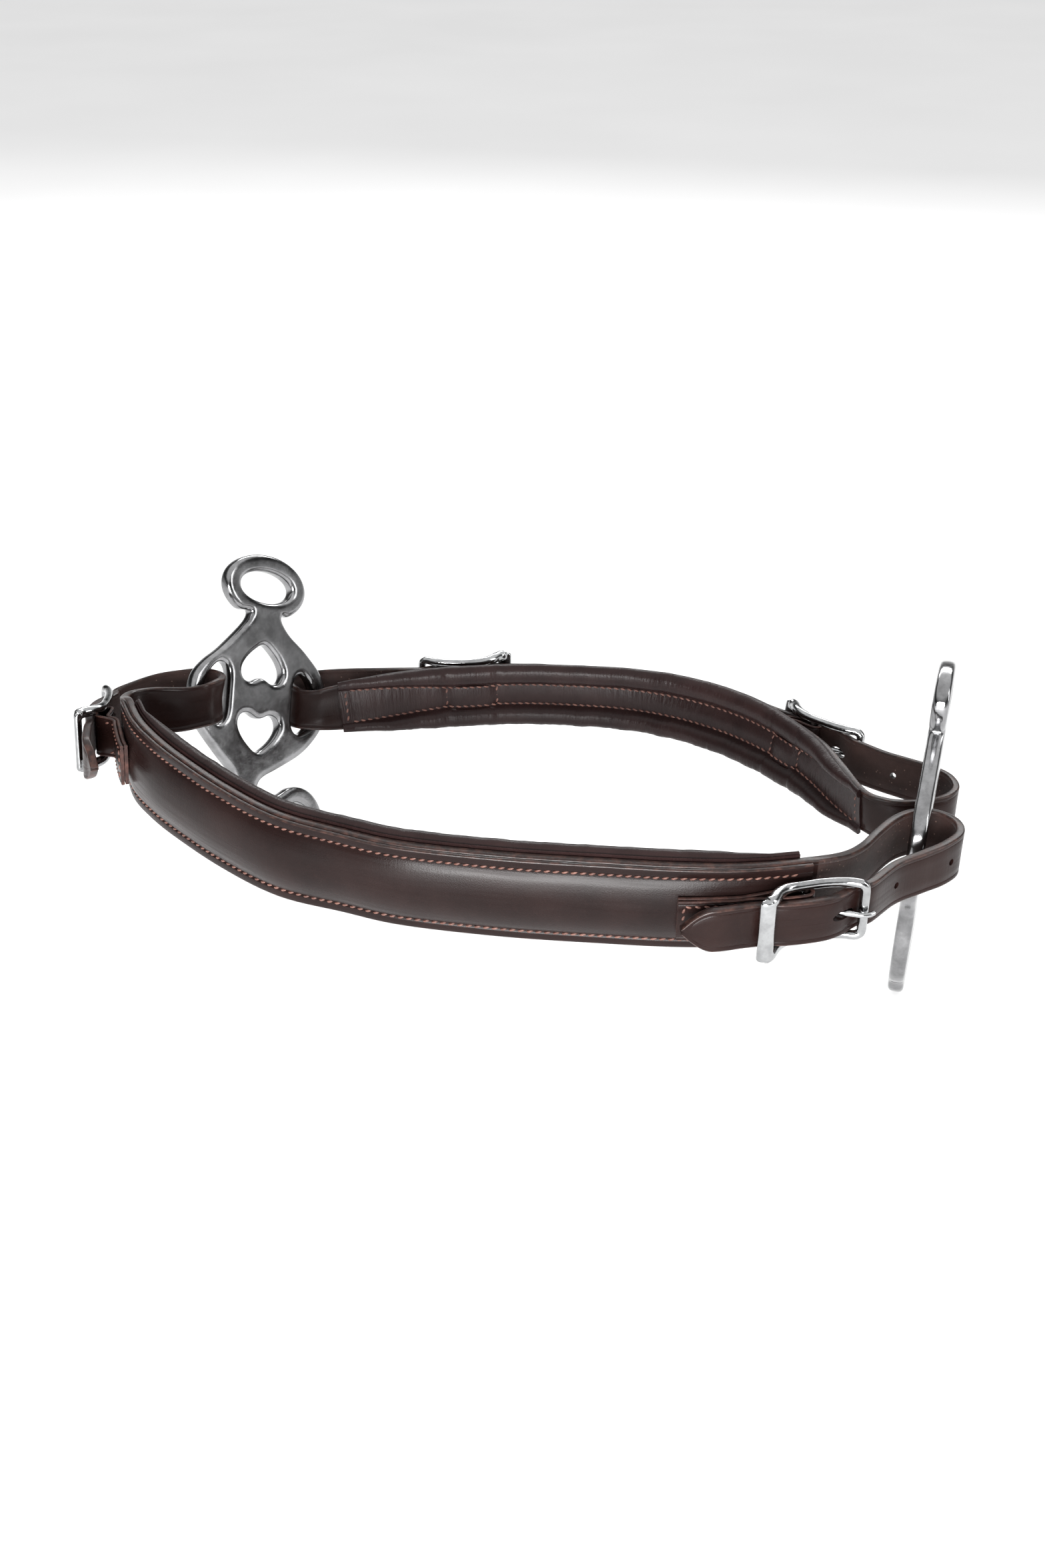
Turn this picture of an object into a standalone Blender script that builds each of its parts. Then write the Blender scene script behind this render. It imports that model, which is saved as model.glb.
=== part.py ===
"""Bitless-bridle hackamore: two cheek plates joined by a padded noseband and a padded chin strap.

Lengths are in millimetres until an object is made. +X is the wearer's left to right across the
noseband, -Y is the front of the nose, +Z is up. Each strap is a flat strip laid along a smooth path,
so a path knot holds a place, the way the strip's width leans there, and half the strip's width.
"""
import math

import bmesh
import bpy
import numpy as np
from mathutils import Matrix, Vector

NAME = "hackamore_noseband_set"
MM = 0.001
GAP = 0.3                       # clearance between pieces that touch

# Moves everything so that the origin is under the middle of the set's box.
STAND = (3.41, -17.37, 92.92)

# Leather
STRAP_THICK = 3.4               # noseband strap and its billets
CHIN_THICK = 3.0
FACE_THICK = 1.6
LINING_THICK = 1.0
CHAPE_THICK = 1.5
BILLET_HALF = 9.2
CHAPE_HALF = 9.2

# Cheek plate, drawn flat: u runs to the rear, w runs up, origin between the two hearts
PLATE_LENGTH = 150.0
DRAWN_LENGTH = 139.8            # the outline below is drawn at this length and scaled
PLATE_THICK = 6.8
PLATE_ROUND = 1.9
LEFT_PLATE_AT = (-122.5, 99.5, -12.0)
LEFT_PLATE_REAR = (0.685, 0.580, -0.440)
LEFT_PLATE_UP = (0.065, 0.545, 0.835)
RIGHT_PLATE_AT = (162.5, -16.0, -8.5)
RIGHT_PLATE_REAR = (0.250, 0.900, -0.350)
RIGHT_PLATE_UP = (0.118, 0.315, 0.940)

# Buckle, in its own side view: x along the strap (keeper at minus x), n away from the noseband
KEEPER_X, KEEPER_N = -17.5, 8.4
END_BAR_X, END_BAR_N = 22.0, 4.4
RAIL_W = 11.5                   # middle of each side rail from the strap's middle
WIRE = 1.9
MID_BAR = 1.6
TONGUE_WIRE = 1.25
HOLE_X = 13.5                   # where the tongue comes through the billet
HOLE_LENGTH, HOLE_WIDTH = 9.6, 4.4
# the billet's run under the keeper, over the mid bar and under the end bar
BILLET_RUN = [(-24.0, 3.3), (-16.0, 4.0), (-8.5, 5.7), (0.0, 6.35), (7.0, 6.1), (12.5, 4.5),
              (17.5, 1.9), (22.0, 0.05), (26.5, -0.3)]

# name: middle of the mid bar, direction along the strap towards the end bar, width lean
BUCKLES = {
    "left_nose": ((-181.8, 53.3, -2.5), (-0.020, 0.985, -0.155), (0.03, 0.16)),
    "right_nose": ((103.0, -94.6, 0.6), (0.968, 0.250, 0.0), (-0.04, -0.02)),
    "left_chin": ((-26.0, 132.2, -21.5), (-1.0, -0.02, 0.0), (0.00, 0.05)),
    "right_chin": ((129.0, 68.5, -18.5), (0.75, -0.66, 0.0), (0.13, 0.17)),
}
OUTWARD = {"left_nose": (-1, 0, 0), "right_nose": (0, -1, 0), "left_chin": (0, 1, 0),
           "right_chin": (1, 1, 0)}

# Paths: (x, y, z, lean x, lean y, half width)
NOSE_LEFT_TIP = [
    (-177.0, 6.0, 4.0, 0.07, 0.00, 1.5), (-179.3, 11.0, 3.5, 0.07, 0.00, 8.0),
    (-182.5, 17.0, 3.0, 0.07, 0.05, 9.2),
]
NOSE_LEFT_LOOP = [
    (-175.5, 83.5, -5.5, 0.05, 0.30, 9.2), (-164.5, 88.0, -3.5, 0.05, 0.50, 9.2),
    (-153.0, 88.0, -1.5, 0.05, 0.60, 9.2), (-145.0, 87.5, -0.5, 0.08, 0.62, 9.2),
    (-139.0, 84.0, 0.0, 0.09, 0.65, 9.2), (-136.3, 78.0, 0.0, 0.09, 0.65, 9.2),
    (-138.5, 72.0, 0.0, 0.09, 0.65, 9.2), (-144.0, 68.5, 0.0, 0.09, 0.62, 9.3),
    (-151.0, 66.0, 0.0, 0.05, 0.55, 9.8), (-162.0, 64.5, 0.0, 0.00, 0.40, 10.5),
    (-170.5, 60.0, 0.0, -0.02, 0.20, 11.5), (-172.5, 51.0, 0.0, 0.00, 0.10, 14.0),
]
NOSE_BODY = [
    (-168.7, 41.4, 0.0, 0.03, 0.03, 18.0), (-161.8, 22.7, 0.0, 0.06, 0.03, 19.0),
    (-153.6, 9.0, 0.0, 0.07, 0.02, 19.0), (-140.8, -7.6, 0.0, 0.05, 0.02, 19.0),
    (-118.0, -32.4, 0.0, 0.02, 0.00, 19.0), (-94.0, -53.0, 0.0, 0.00, -0.04, 19.0),
    (-68.6, -64.7, 0.0, 0.00, -0.10, 19.0), (-45.0, -74.0, 0.0, 0.00, -0.11, 19.0),
    (-7.1, -81.6, 0.0, 0.00, -0.11, 19.0), (28.2, -85.8, 0.0, 0.00, -0.11, 19.0),
    (57.0, -88.5, 0.0, 0.00, -0.12, 19.0), (81.6, -88.4, 0.0, 0.00, -0.11, 18.6),
    (105.0, -84.0, 0.0, 0.00, -0.08, 17.6),
]
NOSE_RIGHT_LOOP = [
    (119.5, -74.5, 0.0, 0.00, -0.06, 13.5), (129.0, -63.5, 0.0, 0.00, -0.03, 10.4),
    (137.0, -52.0, 0.0, 0.02, 0.05, 9.4), (145.0, -42.5, 0.0, 0.05, 0.12, 9.2),
    (153.5, -37.5, 0.0, 0.06, 0.18, 9.2), (162.0, -38.0, 0.0, 0.07, 0.20, 9.2),
    (168.0, -44.5, 0.0, 0.07, 0.18, 9.2), (168.0, -53.0, 0.0, 0.05, 0.12, 9.2),
    (161.5, -60.5, 0.0, 0.00, 0.05, 9.2), (152.0, -66.8, 0.0, 0.00, 0.00, 9.2),
    (140.0, -74.5, 0.0, 0.00, 0.00, 9.2),
]
NOSE_RIGHT_TIP = [
    (70.0, -106.2, 0.6, 0.00, -0.02, 9.2), (62.5, -106.4, 0.6, 0.00, -0.02, 8.0),
    (57.0, -106.6, 0.6, 0.00, -0.02, 1.5),
]
CHIN_RIGHT_TIP = [
    (95.0, 100.0, -18.5, 0.13, 0.17, 1.5), (99.0, 97.0, -18.5, 0.13, 0.17, 8.0),
    (103.5, 94.0, -18.5, 0.13, 0.17, 9.2),
]
CHIN_RIGHT_LOOP = [
    (157.0, 44.5, -19.0, 0.06, 0.15, 9.2), (165.5, 38.5, -19.0, 0.06, 0.20, 9.2),
    (174.0, 32.5, -19.0, 0.07, 0.22, 9.2), (181.0, 24.5, -19.0, 0.07, 0.22, 9.2),
    (182.5, 15.0, -19.0, 0.07, 0.22, 9.2), (178.0, 7.5, -19.0, 0.07, 0.22, 9.2),
    (169.5, 3.6, -19.0, 0.07, 0.20, 9.2), (160.0, 2.4, -19.0, 0.05, 0.12, 9.2),
    (151.5, 3.8, -19.0, 0.00, 0.05, 9.5),
]
CHIN_BODY = [
    (144.0, 10.5, -18.8, -0.10, -0.08, 10.2), (136.5, 28.5, -18.5, 0.00, 0.00, 11.8),
    (127.0, 49.0, -18.0, 0.12, 0.07, 13.0), (106.0, 79.0, -18.5, 0.20, 0.25, 13.5),
    (81.0, 101.0, -19.0, 0.12, 0.25, 13.5), (53.0, 116.0, -20.0, 0.05, 0.12, 13.5),
    (21.0, 123.5, -21.0, 0.00, 0.06, 13.5), (-8.0, 125.5, -21.5, 0.00, 0.05, 13.5),
    (-50.0, 121.5, -22.5, 0.00, 0.15, 13.0), (-86.0, 113.0, -23.5, 0.06, 0.42, 10.6),
]
CHIN_LEFT_LOOP = [
    (-97.0, 111.0, -24.0, 0.09, 0.58, 9.4), (-105.6, 112.8, -24.0, 0.09, 0.65, 9.2),
    (-109.6, 118.5, -24.0, 0.09, 0.65, 9.2), (-108.8, 125.5, -24.0, 0.09, 0.65, 9.2),
    (-103.5, 130.5, -24.0, 0.09, 0.62, 9.2), (-95.0, 132.4, -23.7, 0.08, 0.55, 9.2),
    (-84.0, 132.8, -23.2, 0.05, 0.42, 9.2), (-70.0, 132.2, -22.5, 0.02, 0.25, 9.2),
]
CHIN_LEFT_TIP = [
    (10.0, 135.3, -21.5, 0.00, 0.05, 9.2), (17.0, 135.0, -21.5, 0.00, 0.05, 8.0),
    (22.5, 134.8, -21.5, 0.00, 0.05, 1.5),
]

STEPS = 3                       # stations to a span between two knots


def smooth(knots, steps=STEPS):
    """Stations on a Catmull-Rom curve through the knots."""
    rows = np.array(knots, float)
    ends = (2 * rows[0] - rows[1], 2 * rows[-1] - rows[-2])
    rows = np.vstack([ends[0], rows, ends[1]])
    stations = []
    for i in range(1, len(rows) - 2):
        a, b, c, d = rows[i - 1:i + 3]
        for k in range(steps):
            t = k / steps
            stations.append(b + 0.5 * t * (c - a + t * (2 * a - 5 * b + 4 * c - d
                                                       + t * (3 * (b - c) + d - a))))
    stations.append(rows[-2])
    return np.array(stations)


def unit(v):
    return v / np.linalg.norm(v, axis=-1, keepdims=True)


class Strap:
    """Where a strap lies: its middle, its width direction w and its face normal n at each station."""

    def __init__(self, knots, steps=STEPS):
        rows = smooth(knots, steps)
        self.mid = rows[:, :3]
        self.half = rows[:, 5]
        tangent = unit(np.gradient(self.mid, axis=0))
        lean = np.column_stack([rows[:, 3], rows[:, 4], np.ones(len(rows))])
        along = (lean * tangent).sum(axis=1, keepdims=True)
        self.w = unit(lean - along * tangent)
        self.n = np.cross(tangent, self.w)
        self.t = tangent

    def part(self, first, last):
        """The stretch between two stations, as a strap of its own."""
        piece = object.__new__(Strap)
        for key in ("mid", "half", "w", "n", "t"):
            setattr(piece, key, getattr(self, key)[first:last])
        return piece

    def point(self, i, w, n):
        return self.mid[i] + self.w[i] * w + self.n[i] * n


def clear_scene():
    for obj in list(bpy.data.objects):
        bpy.data.objects.remove(obj, do_unlink=True)


def collection(name):
    coll = bpy.data.collections.new(name)
    bpy.context.scene.collection.children.link(coll)
    return coll


def material(name, colour, roughness, metallic=0.0):
    mat = bpy.data.materials.new(name)
    mat.use_nodes = True
    shader = mat.node_tree.nodes["Principled BSDF"]
    shader.inputs["Base Color"].default_value = (*colour, 1.0)
    shader.inputs["Roughness"].default_value = roughness
    shader.inputs["Metallic"].default_value = metallic
    return mat


def add_object(name, mesh, mat, coll):
    obj = bpy.data.objects.new(name, mesh)
    coll.objects.link(obj)
    if mat is not None:
        mesh.materials.append(mat)
    return obj


def swept(name, strap, section, closed, mat, coll):
    """A surface through the same section at every station; section(i) lists (w, n) points."""
    bm = bmesh.new()
    rings = []
    for i in range(len(strap.mid)):
        points = [strap.point(i, w, n) * MM for w, n in section(i)]
        rings.append([bm.verts.new(p) for p in points])
    count = len(rings[0])
    for one, two in zip(rings, rings[1:]):
        for k in range(count if closed else count - 1):
            j = (k + 1) % count
            bm.faces.new((one[k], one[j], two[j], two[k]))
    if closed:
        bm.faces.new(rings[0])
        bm.faces.new(reversed(rings[-1]))
    bmesh.ops.recalc_face_normals(bm, faces=bm.faces)
    mesh = bpy.data.meshes.new(name)
    bm.to_mesh(mesh)
    bm.free()
    return add_object(name, mesh, mat, coll)


def leather(name, strap, section, thickness, mat, coll):
    """An open sheet through the section, given its thickness by Solidify."""
    obj = swept(name, strap, section, False, mat, coll)
    solid = obj.modifiers.new("thickness", "SOLIDIFY")
    solid.thickness = thickness * MM
    solid.offset = 0.0
    solid.use_even_offset = True
    return obj


def flat_section(strap, level=0.0):
    return lambda i: [(strap.half[i] * f, level) for f in (-1.0, 0.0, 1.0)]


def boolean(obj, tool, operation):
    mod = obj.modifiers.new(operation.lower(), "BOOLEAN")
    mod.operation = operation
    mod.object = tool
    mod.solver = "EXACT"


def make_cutter(obj, cutters):
    for coll in list(obj.users_collection):
        coll.objects.unlink(obj)
    cutters.objects.link(obj)
    obj.hide_render = True
    obj.display_type = "WIRE"


def primitive_mesh(name, build, matrix):
    bm = bmesh.new()
    build(bm)
    bmesh.ops.transform(bm, matrix=matrix, verts=bm.verts)
    mesh = bpy.data.meshes.new(name)
    bm.to_mesh(mesh)
    bm.free()
    return mesh


def axes_matrix(x, y, z, at):
    """A place in metres whose own axes are x, y and z; the point is in millimetres."""
    rot = Matrix((x, y, z)).transposed().to_4x4()
    return Matrix.Translation(Vector(at) * MM) @ rot


# ---------------------------------------------------------------- cheek plates

RING_AT, RING_SIZE, RING_HOLE = (-1.0, 48.0), (21.5, 14.0), (14.6, 7.0)
REIN_AT, REIN_SIZE, REIN_HOLE = (24.5, -55.0), (15.8, 19.0), (9.4, 12.6)
FRONT_EDGE = [(-8.6, 37.0), (-9.2, 33.5), (-13.8, 28.0), (-22.5, 19.2), (-30.0, 13.0), (-35.0, 6.5),
              (-36.6, -1.0), (-35.0, -8.5), (-30.0, -16.0), (-18.5, -27.0), (-12.0, -32.5),
              (-8.6, -38.0), (-6.8, -47.0), (-3.0, -56.0), (4.5, -64.5)]
REAR_EDGE = [(6.0, -44.5), (2.2, -40.5), (2.2, -36.5), (5.2, -33.2), (13.0, -28.9), (25.0, -21.4),
             (33.5, -12.0), (37.0, -3.0), (36.6, 5.0), (33.0, 14.0), (23.0, 23.0), (14.0, 29.0),
             (9.2, 34.0), (8.6, 37.0)]
HEART = [(0.0, 24.6), (5.5, 21.4), (10.3, 16.6), (12.6, 11.6), (11.0, 7.2), (6.6, 6.0), (2.4, 7.8)]
HEART_NOTCH = (0.0, 9.6)
SLOT = [(17.0, 0.0), (17.2, 8.5), (19.0, 12.8), (22.5, 14.0), (26.5, 10.8), (29.6, 5.0)]
SLOT_TIP = (30.4, 0.0)


def arc(centre, size, start, end, count):
    """Points on an oval from one angle to another, in degrees."""
    angles = np.radians(np.linspace(start, end, count))
    return [(centre[0] + size[0] * math.cos(a), centre[1] + size[1] * math.sin(a)) for a in angles]


def mirrored(half, far, flip):
    """A closed outline from one half: flip (-1, 1) mirrors left to right, (1, -1) top to bottom."""
    other = [(u * flip[0], w * flip[1]) for u, w in reversed(half[1:])]
    return half + [far] + other


def plate_outlines():
    outer = (arc(RING_AT, RING_SIZE, -52, 232, 15) + FRONT_EDGE
             + arc(REIN_AT, REIN_SIZE, 222, 488, 14) + REAR_EDGE)
    heart = mirrored(HEART, HEART_NOTCH, (-1, 1))
    slot = mirrored(SLOT, SLOT_TIP, (1, -1))
    return [outer,
            arc(RING_AT, RING_HOLE, 0, 337.5, 16),
            arc(REIN_AT, REIN_HOLE, 0, 337.5, 16),
            heart, [(u, -w) for u, w in heart],
            slot, [(-u, w) for u, w in slot]]


def curve_mesh(name, curve):
    """The curve as a closed mesh, its caps welded."""
    obj = bpy.data.objects.new(name, curve)
    bpy.context.scene.collection.objects.link(obj)
    bpy.context.view_layer.update()
    graph = bpy.context.evaluated_depsgraph_get()
    mesh = bpy.data.meshes.new_from_object(obj.evaluated_get(graph))
    bpy.data.objects.remove(obj, do_unlink=True)
    bpy.data.curves.remove(curve)
    bm = bmesh.new()
    bm.from_mesh(mesh)
    bmesh.ops.remove_doubles(bm, verts=bm.verts, dist=1e-6)
    bmesh.ops.recalc_face_normals(bm, faces=bm.faces)
    bm.to_mesh(mesh)
    bm.free()
    mesh.materials.clear()
    return mesh


def poly_curve(name, outlines, dimensions):
    curve = bpy.data.curves.new(name, "CURVE")
    curve.dimensions = dimensions
    for points, cyclic in outlines:
        spline = curve.splines.new("POLY")
        spline.points.add(len(points) - 1)
        for item, p in zip(spline.points, points):
            place = list(p) + [0.0] * (3 - len(p))
            item.co = (*[c * MM for c in place], 1.0)
        spline.use_cyclic_u = cyclic
    return curve


def plate_mesh():
    scale = PLATE_LENGTH / DRAWN_LENGTH
    outlines = [([(u * scale, w * scale) for u, w in points], True) for points in plate_outlines()]
    curve = poly_curve("cheek_plate", outlines, "2D")
    curve.fill_mode = "BOTH"
    curve.extrude = (PLATE_THICK / 2 - PLATE_ROUND) * MM
    curve.bevel_depth = PLATE_ROUND * MM
    curve.bevel_resolution = 0
    curve.offset = -PLATE_ROUND * MM
    return curve_mesh("cheek_plate", curve)


def plate_matrix(at, rear, up):
    w = Vector(up).normalized()
    u = Vector(rear)
    u = (u - w * u.dot(w)).normalized()
    return axes_matrix(u, w, u.cross(w), np.add(at, STAND))


def build_plates(steel, coll):
    mesh = plate_mesh()
    places = (("left_cheek_plate", LEFT_PLATE_AT, LEFT_PLATE_REAR, LEFT_PLATE_UP),
              ("right_cheek_plate", RIGHT_PLATE_AT, RIGHT_PLATE_REAR, RIGHT_PLATE_UP))
    for name, at, rear, up in places:
        plate = add_object(name, mesh.copy(), steel, coll)
        plate.matrix_world = plate_matrix(at, rear, up)


# ---------------------------------------------------------------- buckles

KEEPER_HALF = (3.6, 1.9)        # half width and half thickness of the keeper bar
KEEPER_REACH = 13.0
RAIL = [(-17.5, 8.4), (-15.0, 7.0), (-11.5, 3.2), (-7.0, 0.7), (0.0, 0.0), (9.0, 0.3), (16.0, 1.8),
        (19.5, 3.5)]


def buckle_matrix(key):
    """Own axes: x along the strap, y away from the horse, z across the strap."""
    at, along, lean = BUCKLES[key]
    x = Vector(along).normalized()
    w = Vector((*lean, 1.0))
    w = (w - x * w.dot(x)).normalized()
    n = x.cross(w)
    if n.dot(Vector(OUTWARD[key])) < 0:
        n = -n
    return axes_matrix(x, n, x.cross(n), np.add(at, STAND))


def over_buckle(key):
    """The billet's knots where it is threaded through its buckle, keeper end first."""
    place = buckle_matrix(key)
    across = place.to_3x3() @ Vector((0, 0, 1))
    across = across / across.z
    knots = []
    for x, n in BILLET_RUN:
        p = place @ Vector((x * MM, n * MM, 0.0)) / MM
        knots.append((p.x, p.y, p.z, across.x, across.y, BILLET_HALF))
    return knots


def tube_mesh(name, points, radius, resolution):
    curve = poly_curve(name, [(points, False)], "3D")
    curve.bevel_depth = radius * MM
    curve.bevel_resolution = resolution
    curve.use_fill_caps = True
    return curve_mesh(name, curve)


def bar_mesh(name, half_x, half_n, reach, sides, at):
    """A bar across the strap with an oval section."""
    def build(bm):
        bmesh.ops.create_cone(bm, cap_ends=True, segments=sides, radius1=1, radius2=1, depth=2)
    size = Matrix.Diagonal((half_x * MM, half_n * MM, reach * MM, 1))
    return primitive_mesh(name, build, Matrix.Translation((at[0] * MM, at[1] * MM, 0)) @ size)


def frame_points():
    """One wire: up the near rail, across the end bar, and back down the far rail."""
    side = [(x, n, RAIL_W) for x, n in RAIL]
    corner = [(END_BAR_X - 1.0, END_BAR_N - 0.3, RAIL_W - 0.6), (END_BAR_X, END_BAR_N, RAIL_W - 2.4)]
    near = side + corner
    return near + [(x, n, -z) for x, n, z in reversed(near)]


def build_frame(key, mat, coll, cutters):
    place = buckle_matrix(key)
    frame = add_object(key + "_buckle_frame", tube_mesh(key, frame_points(), WIRE, 1), mat, coll)
    keeper = bar_mesh("keeper", *KEEPER_HALF, KEEPER_REACH, 12, (KEEPER_X, KEEPER_N))
    middle = bar_mesh("mid_bar", MID_BAR, MID_BAR, RAIL_W, 8, (0.0, 0.0))
    for mesh in (keeper, middle):
        tool = add_object(key + "_" + mesh.name, mesh, None, cutters)
        make_cutter(tool, cutters)
        tool.matrix_world = place
        boolean(frame, tool, "UNION")
    frame.matrix_world = place


def tongue_points():
    """A ring round the mid bar, then the prong out over the end bar."""
    ring = MID_BAR + GAP + TONGUE_WIRE
    loop = [(ring * math.cos(a), ring * math.sin(a), 0.0) for a in np.radians(range(30, 331, 50))]
    prong = [(5.5, -0.6, 0.0), (9.0, 1.4, 0.0), (13.5, 3.9, 0.0), (17.5, 6.0, 0.0),
             (20.0, 7.6, 0.0), (22.5, 8.0, 0.0), (24.9, 7.3, 0.0)]
    return loop + prong


def build_tongue(key, mat, coll):
    mesh = tube_mesh(key + "_tongue", tongue_points(), TONGUE_WIRE, 1)
    tongue = add_object(key + "_buckle_tongue", mesh, mat, coll)
    tongue.matrix_world = buckle_matrix(key)


CHAPE_SLOT = (14.0, 12.0, 4.4)
CHAPE_FOLD = [(-9.0, -2.7), (-3.0, -2.75), (1.4, -2.4), (3.0, 0.0), (1.4, 2.4), (-3.0, 2.75),
              (-9.0, 2.2)]


def chape_knots(key, strap, levels):
    """Down the face of the strap, round the mid bar and back on top of the first layer."""
    place = buckle_matrix(key)
    lower, upper = [], []
    for i, level in levels:
        lean = strap.w[i] / strap.w[i][2]
        for layer, height in ((lower, level), (upper, level + CHAPE_THICK + GAP)):
            layer.append((*strap.point(i, 0.0, height), lean[0], lean[1], CHAPE_HALF))
    across = place.to_3x3() @ Vector((0, 0, 1))
    across = across / across.z
    fold = []
    for x, n in CHAPE_FOLD:
        p = place @ Vector((x * MM, n * MM, 0.0)) / MM
        fold.append((p.x, p.y, p.z, across.x, across.y, CHAPE_HALF))
    return lower + fold + upper[::-1]


def build_chape(key, strap, levels, mat, coll, cutters):
    """The buckle's own short strap; levels pairs a station with the height it lies at there."""
    chape = Strap(chape_knots(key, strap, levels), 2)
    obj = leather(key + "_buckle_chape", chape, flat_section(chape), CHAPE_THICK, mat, coll)

    def build(bm):
        bmesh.ops.create_cube(bm, size=1.0)
    size = Matrix.Diagonal((*(v * MM for v in CHAPE_SLOT), 1))
    mesh = primitive_mesh(key + "_chape_slot", build, Matrix.Translation((1.0 * MM, 0, 0)) @ size)
    tool = add_object(mesh.name, mesh, None, cutters)
    tool.matrix_world = buckle_matrix(key)
    make_cutter(tool, cutters)
    boolean(obj, tool, "DIFFERENCE")


def punch(strap_obj, key, cutters):
    """The oval hole the tongue passes through."""
    def build(bm):
        bmesh.ops.create_cone(bm, cap_ends=True, segments=10, radius1=1, radius2=1, depth=2)
    size = Matrix.Diagonal((HOLE_LENGTH / 2 * MM, HOLE_WIDTH / 2 * MM, 7 * MM, 1))
    turn = Matrix.Rotation(math.pi / 2, 4, "X")
    mesh = primitive_mesh(key + "_hole", build, turn @ size)
    tool = add_object(mesh.name, mesh, None, cutters)
    tool.matrix_world = buckle_matrix(key) @ Matrix.Translation((HOLE_X * MM, 3.5 * MM, 0))
    make_cutter(tool, cutters)
    boolean(strap_obj, tool, "DIFFERENCE")


# ---------------------------------------------------------------- noseband and chin strap

FACE_LEVEL = STRAP_THICK / 2 + GAP + FACE_THICK / 2
CROWN = 3.2
FACE_RISE = ((-1.0, 0.0), (-0.74, 0.0), (-0.56, 0.6), (-0.3, 0.92), (0.0, 1.0), (0.3, 0.92),
             (0.56, 0.6), (0.74, 0.0), (1.0, 0.0))
LINING = [(-0.90, -2.6), (-1.05, -4.6), (-1.02, -7.8), (-0.80, -9.4), (-0.42, -8.2), (0.42, -8.2),
          (0.80, -9.4), (1.02, -7.8), (1.05, -4.6), (0.90, -2.6)]
PADDING = [(-0.80, -2.7), (-0.92, -4.6), (-0.90, -7.0), (-0.76, -8.3), (-0.42, -7.2), (0.42, -7.2),
           (0.76, -8.3), (0.90, -7.0), (0.92, -4.6), (0.80, -2.7)]
CHIN_LINING = [(-0.90, -2.4), (-1.05, -3.9), (-1.0, -6.0), (-0.75, -6.6), (-0.45, -4.6),
               (-0.34, -2.4), (0.34, -2.4), (0.45, -4.6), (0.75, -6.6), (1.0, -6.0), (1.05, -3.9),
               (0.90, -2.4)]
CHIN_ROLL = [(0.52, -2.5), (0.86, -2.5), (0.93, -3.9), (0.90, -5.1), (0.75, -5.4), (0.56, -4.2)]


def ends_in(count, reach):
    """One along most of a strap, falling smoothly to zero over its last few stations."""
    i = np.arange(count)
    near = np.minimum(np.minimum(i, count - 1 - i) / reach, 1.0)
    return np.sin(near * math.pi / 2)


def body_range(before, body, steps=STEPS):
    first = before * steps
    return first, first + (len(body) - 1) * steps + 1


def depth_section(strap, outline, fade, floor):
    """The outline with its depth below the strap scaled by the fade, but never under the floor."""
    top = outline[0][1]
    return lambda i: [(strap.half[i] * w, top + (n - top) * max(fade[i], floor)) for w, n in outline]


def build_noseband(mats, coll, cutters):
    left = moved(NOSE_LEFT_TIP) + over_buckle("left_nose") + moved(NOSE_LEFT_LOOP)
    right = moved(NOSE_RIGHT_LOOP) + over_buckle("right_nose")[::-1] + moved(NOSE_RIGHT_TIP)
    knots = left + moved(NOSE_BODY) + right
    strap = Strap(knots)
    base = leather("noseband_strap", strap, flat_section(strap), STRAP_THICK, mats["leather"], coll)
    for key in ("left_nose", "right_nose"):
        punch(base, key, cutters)
    first, last = body_range(len(left), NOSE_BODY)
    body = strap.part(first, last)
    count = last - first
    fade = ends_in(count, 9)

    def face(i):
        rise = max(CROWN * fade[i], 0.5)
        return [((body.half[i] - 0.4) * w, FACE_LEVEL + rise * r) for w, r in FACE_RISE]
    leather("noseband_face", body, face, FACE_THICK, mats["leather"], coll)

    core = body.part(5, count - 5)
    core_fade = fade[5:count - 5]
    low = STRAP_THICK / 2 + GAP

    def filler(i):
        rise = CROWN * core_fade[i] - GAP
        return [(-8.6, low), (-8.2, low + 0.55 * rise), (-4.5, low + 0.86 * rise),
                (4.5, low + 0.86 * rise), (8.2, low + 0.55 * rise), (8.6, low)]
    swept("noseband_filler", core, filler, True, mats["felt"], coll)

    inner = body.part(1, count - 1)
    inner_fade = ends_in(count - 2, 8)
    section = depth_section(inner, LINING, inner_fade, 0.45)
    leather("noseband_lining", inner, section, LINING_THICK, mats["lining"], coll)
    pad = body.part(5, count - 5)
    swept("noseband_padding", pad, depth_section(pad, PADDING, inner_fade[4:count - 6], 0.45), True,
          mats["felt"], coll)

    def on_face(i):
        rise = max(CROWN * fade[i - first], 0.5)
        return i, FACE_LEVEL + rise + (FACE_THICK + CHAPE_THICK) / 2 + 2 * GAP
    for key, stations in (("left_nose", range(first + 4, first - 1, -1)),
                          ("right_nose", range(last - 7, last - 3))):
        build_chape(key, strap, [on_face(i) for i in stations], mats["leather"], coll, cutters)


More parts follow.
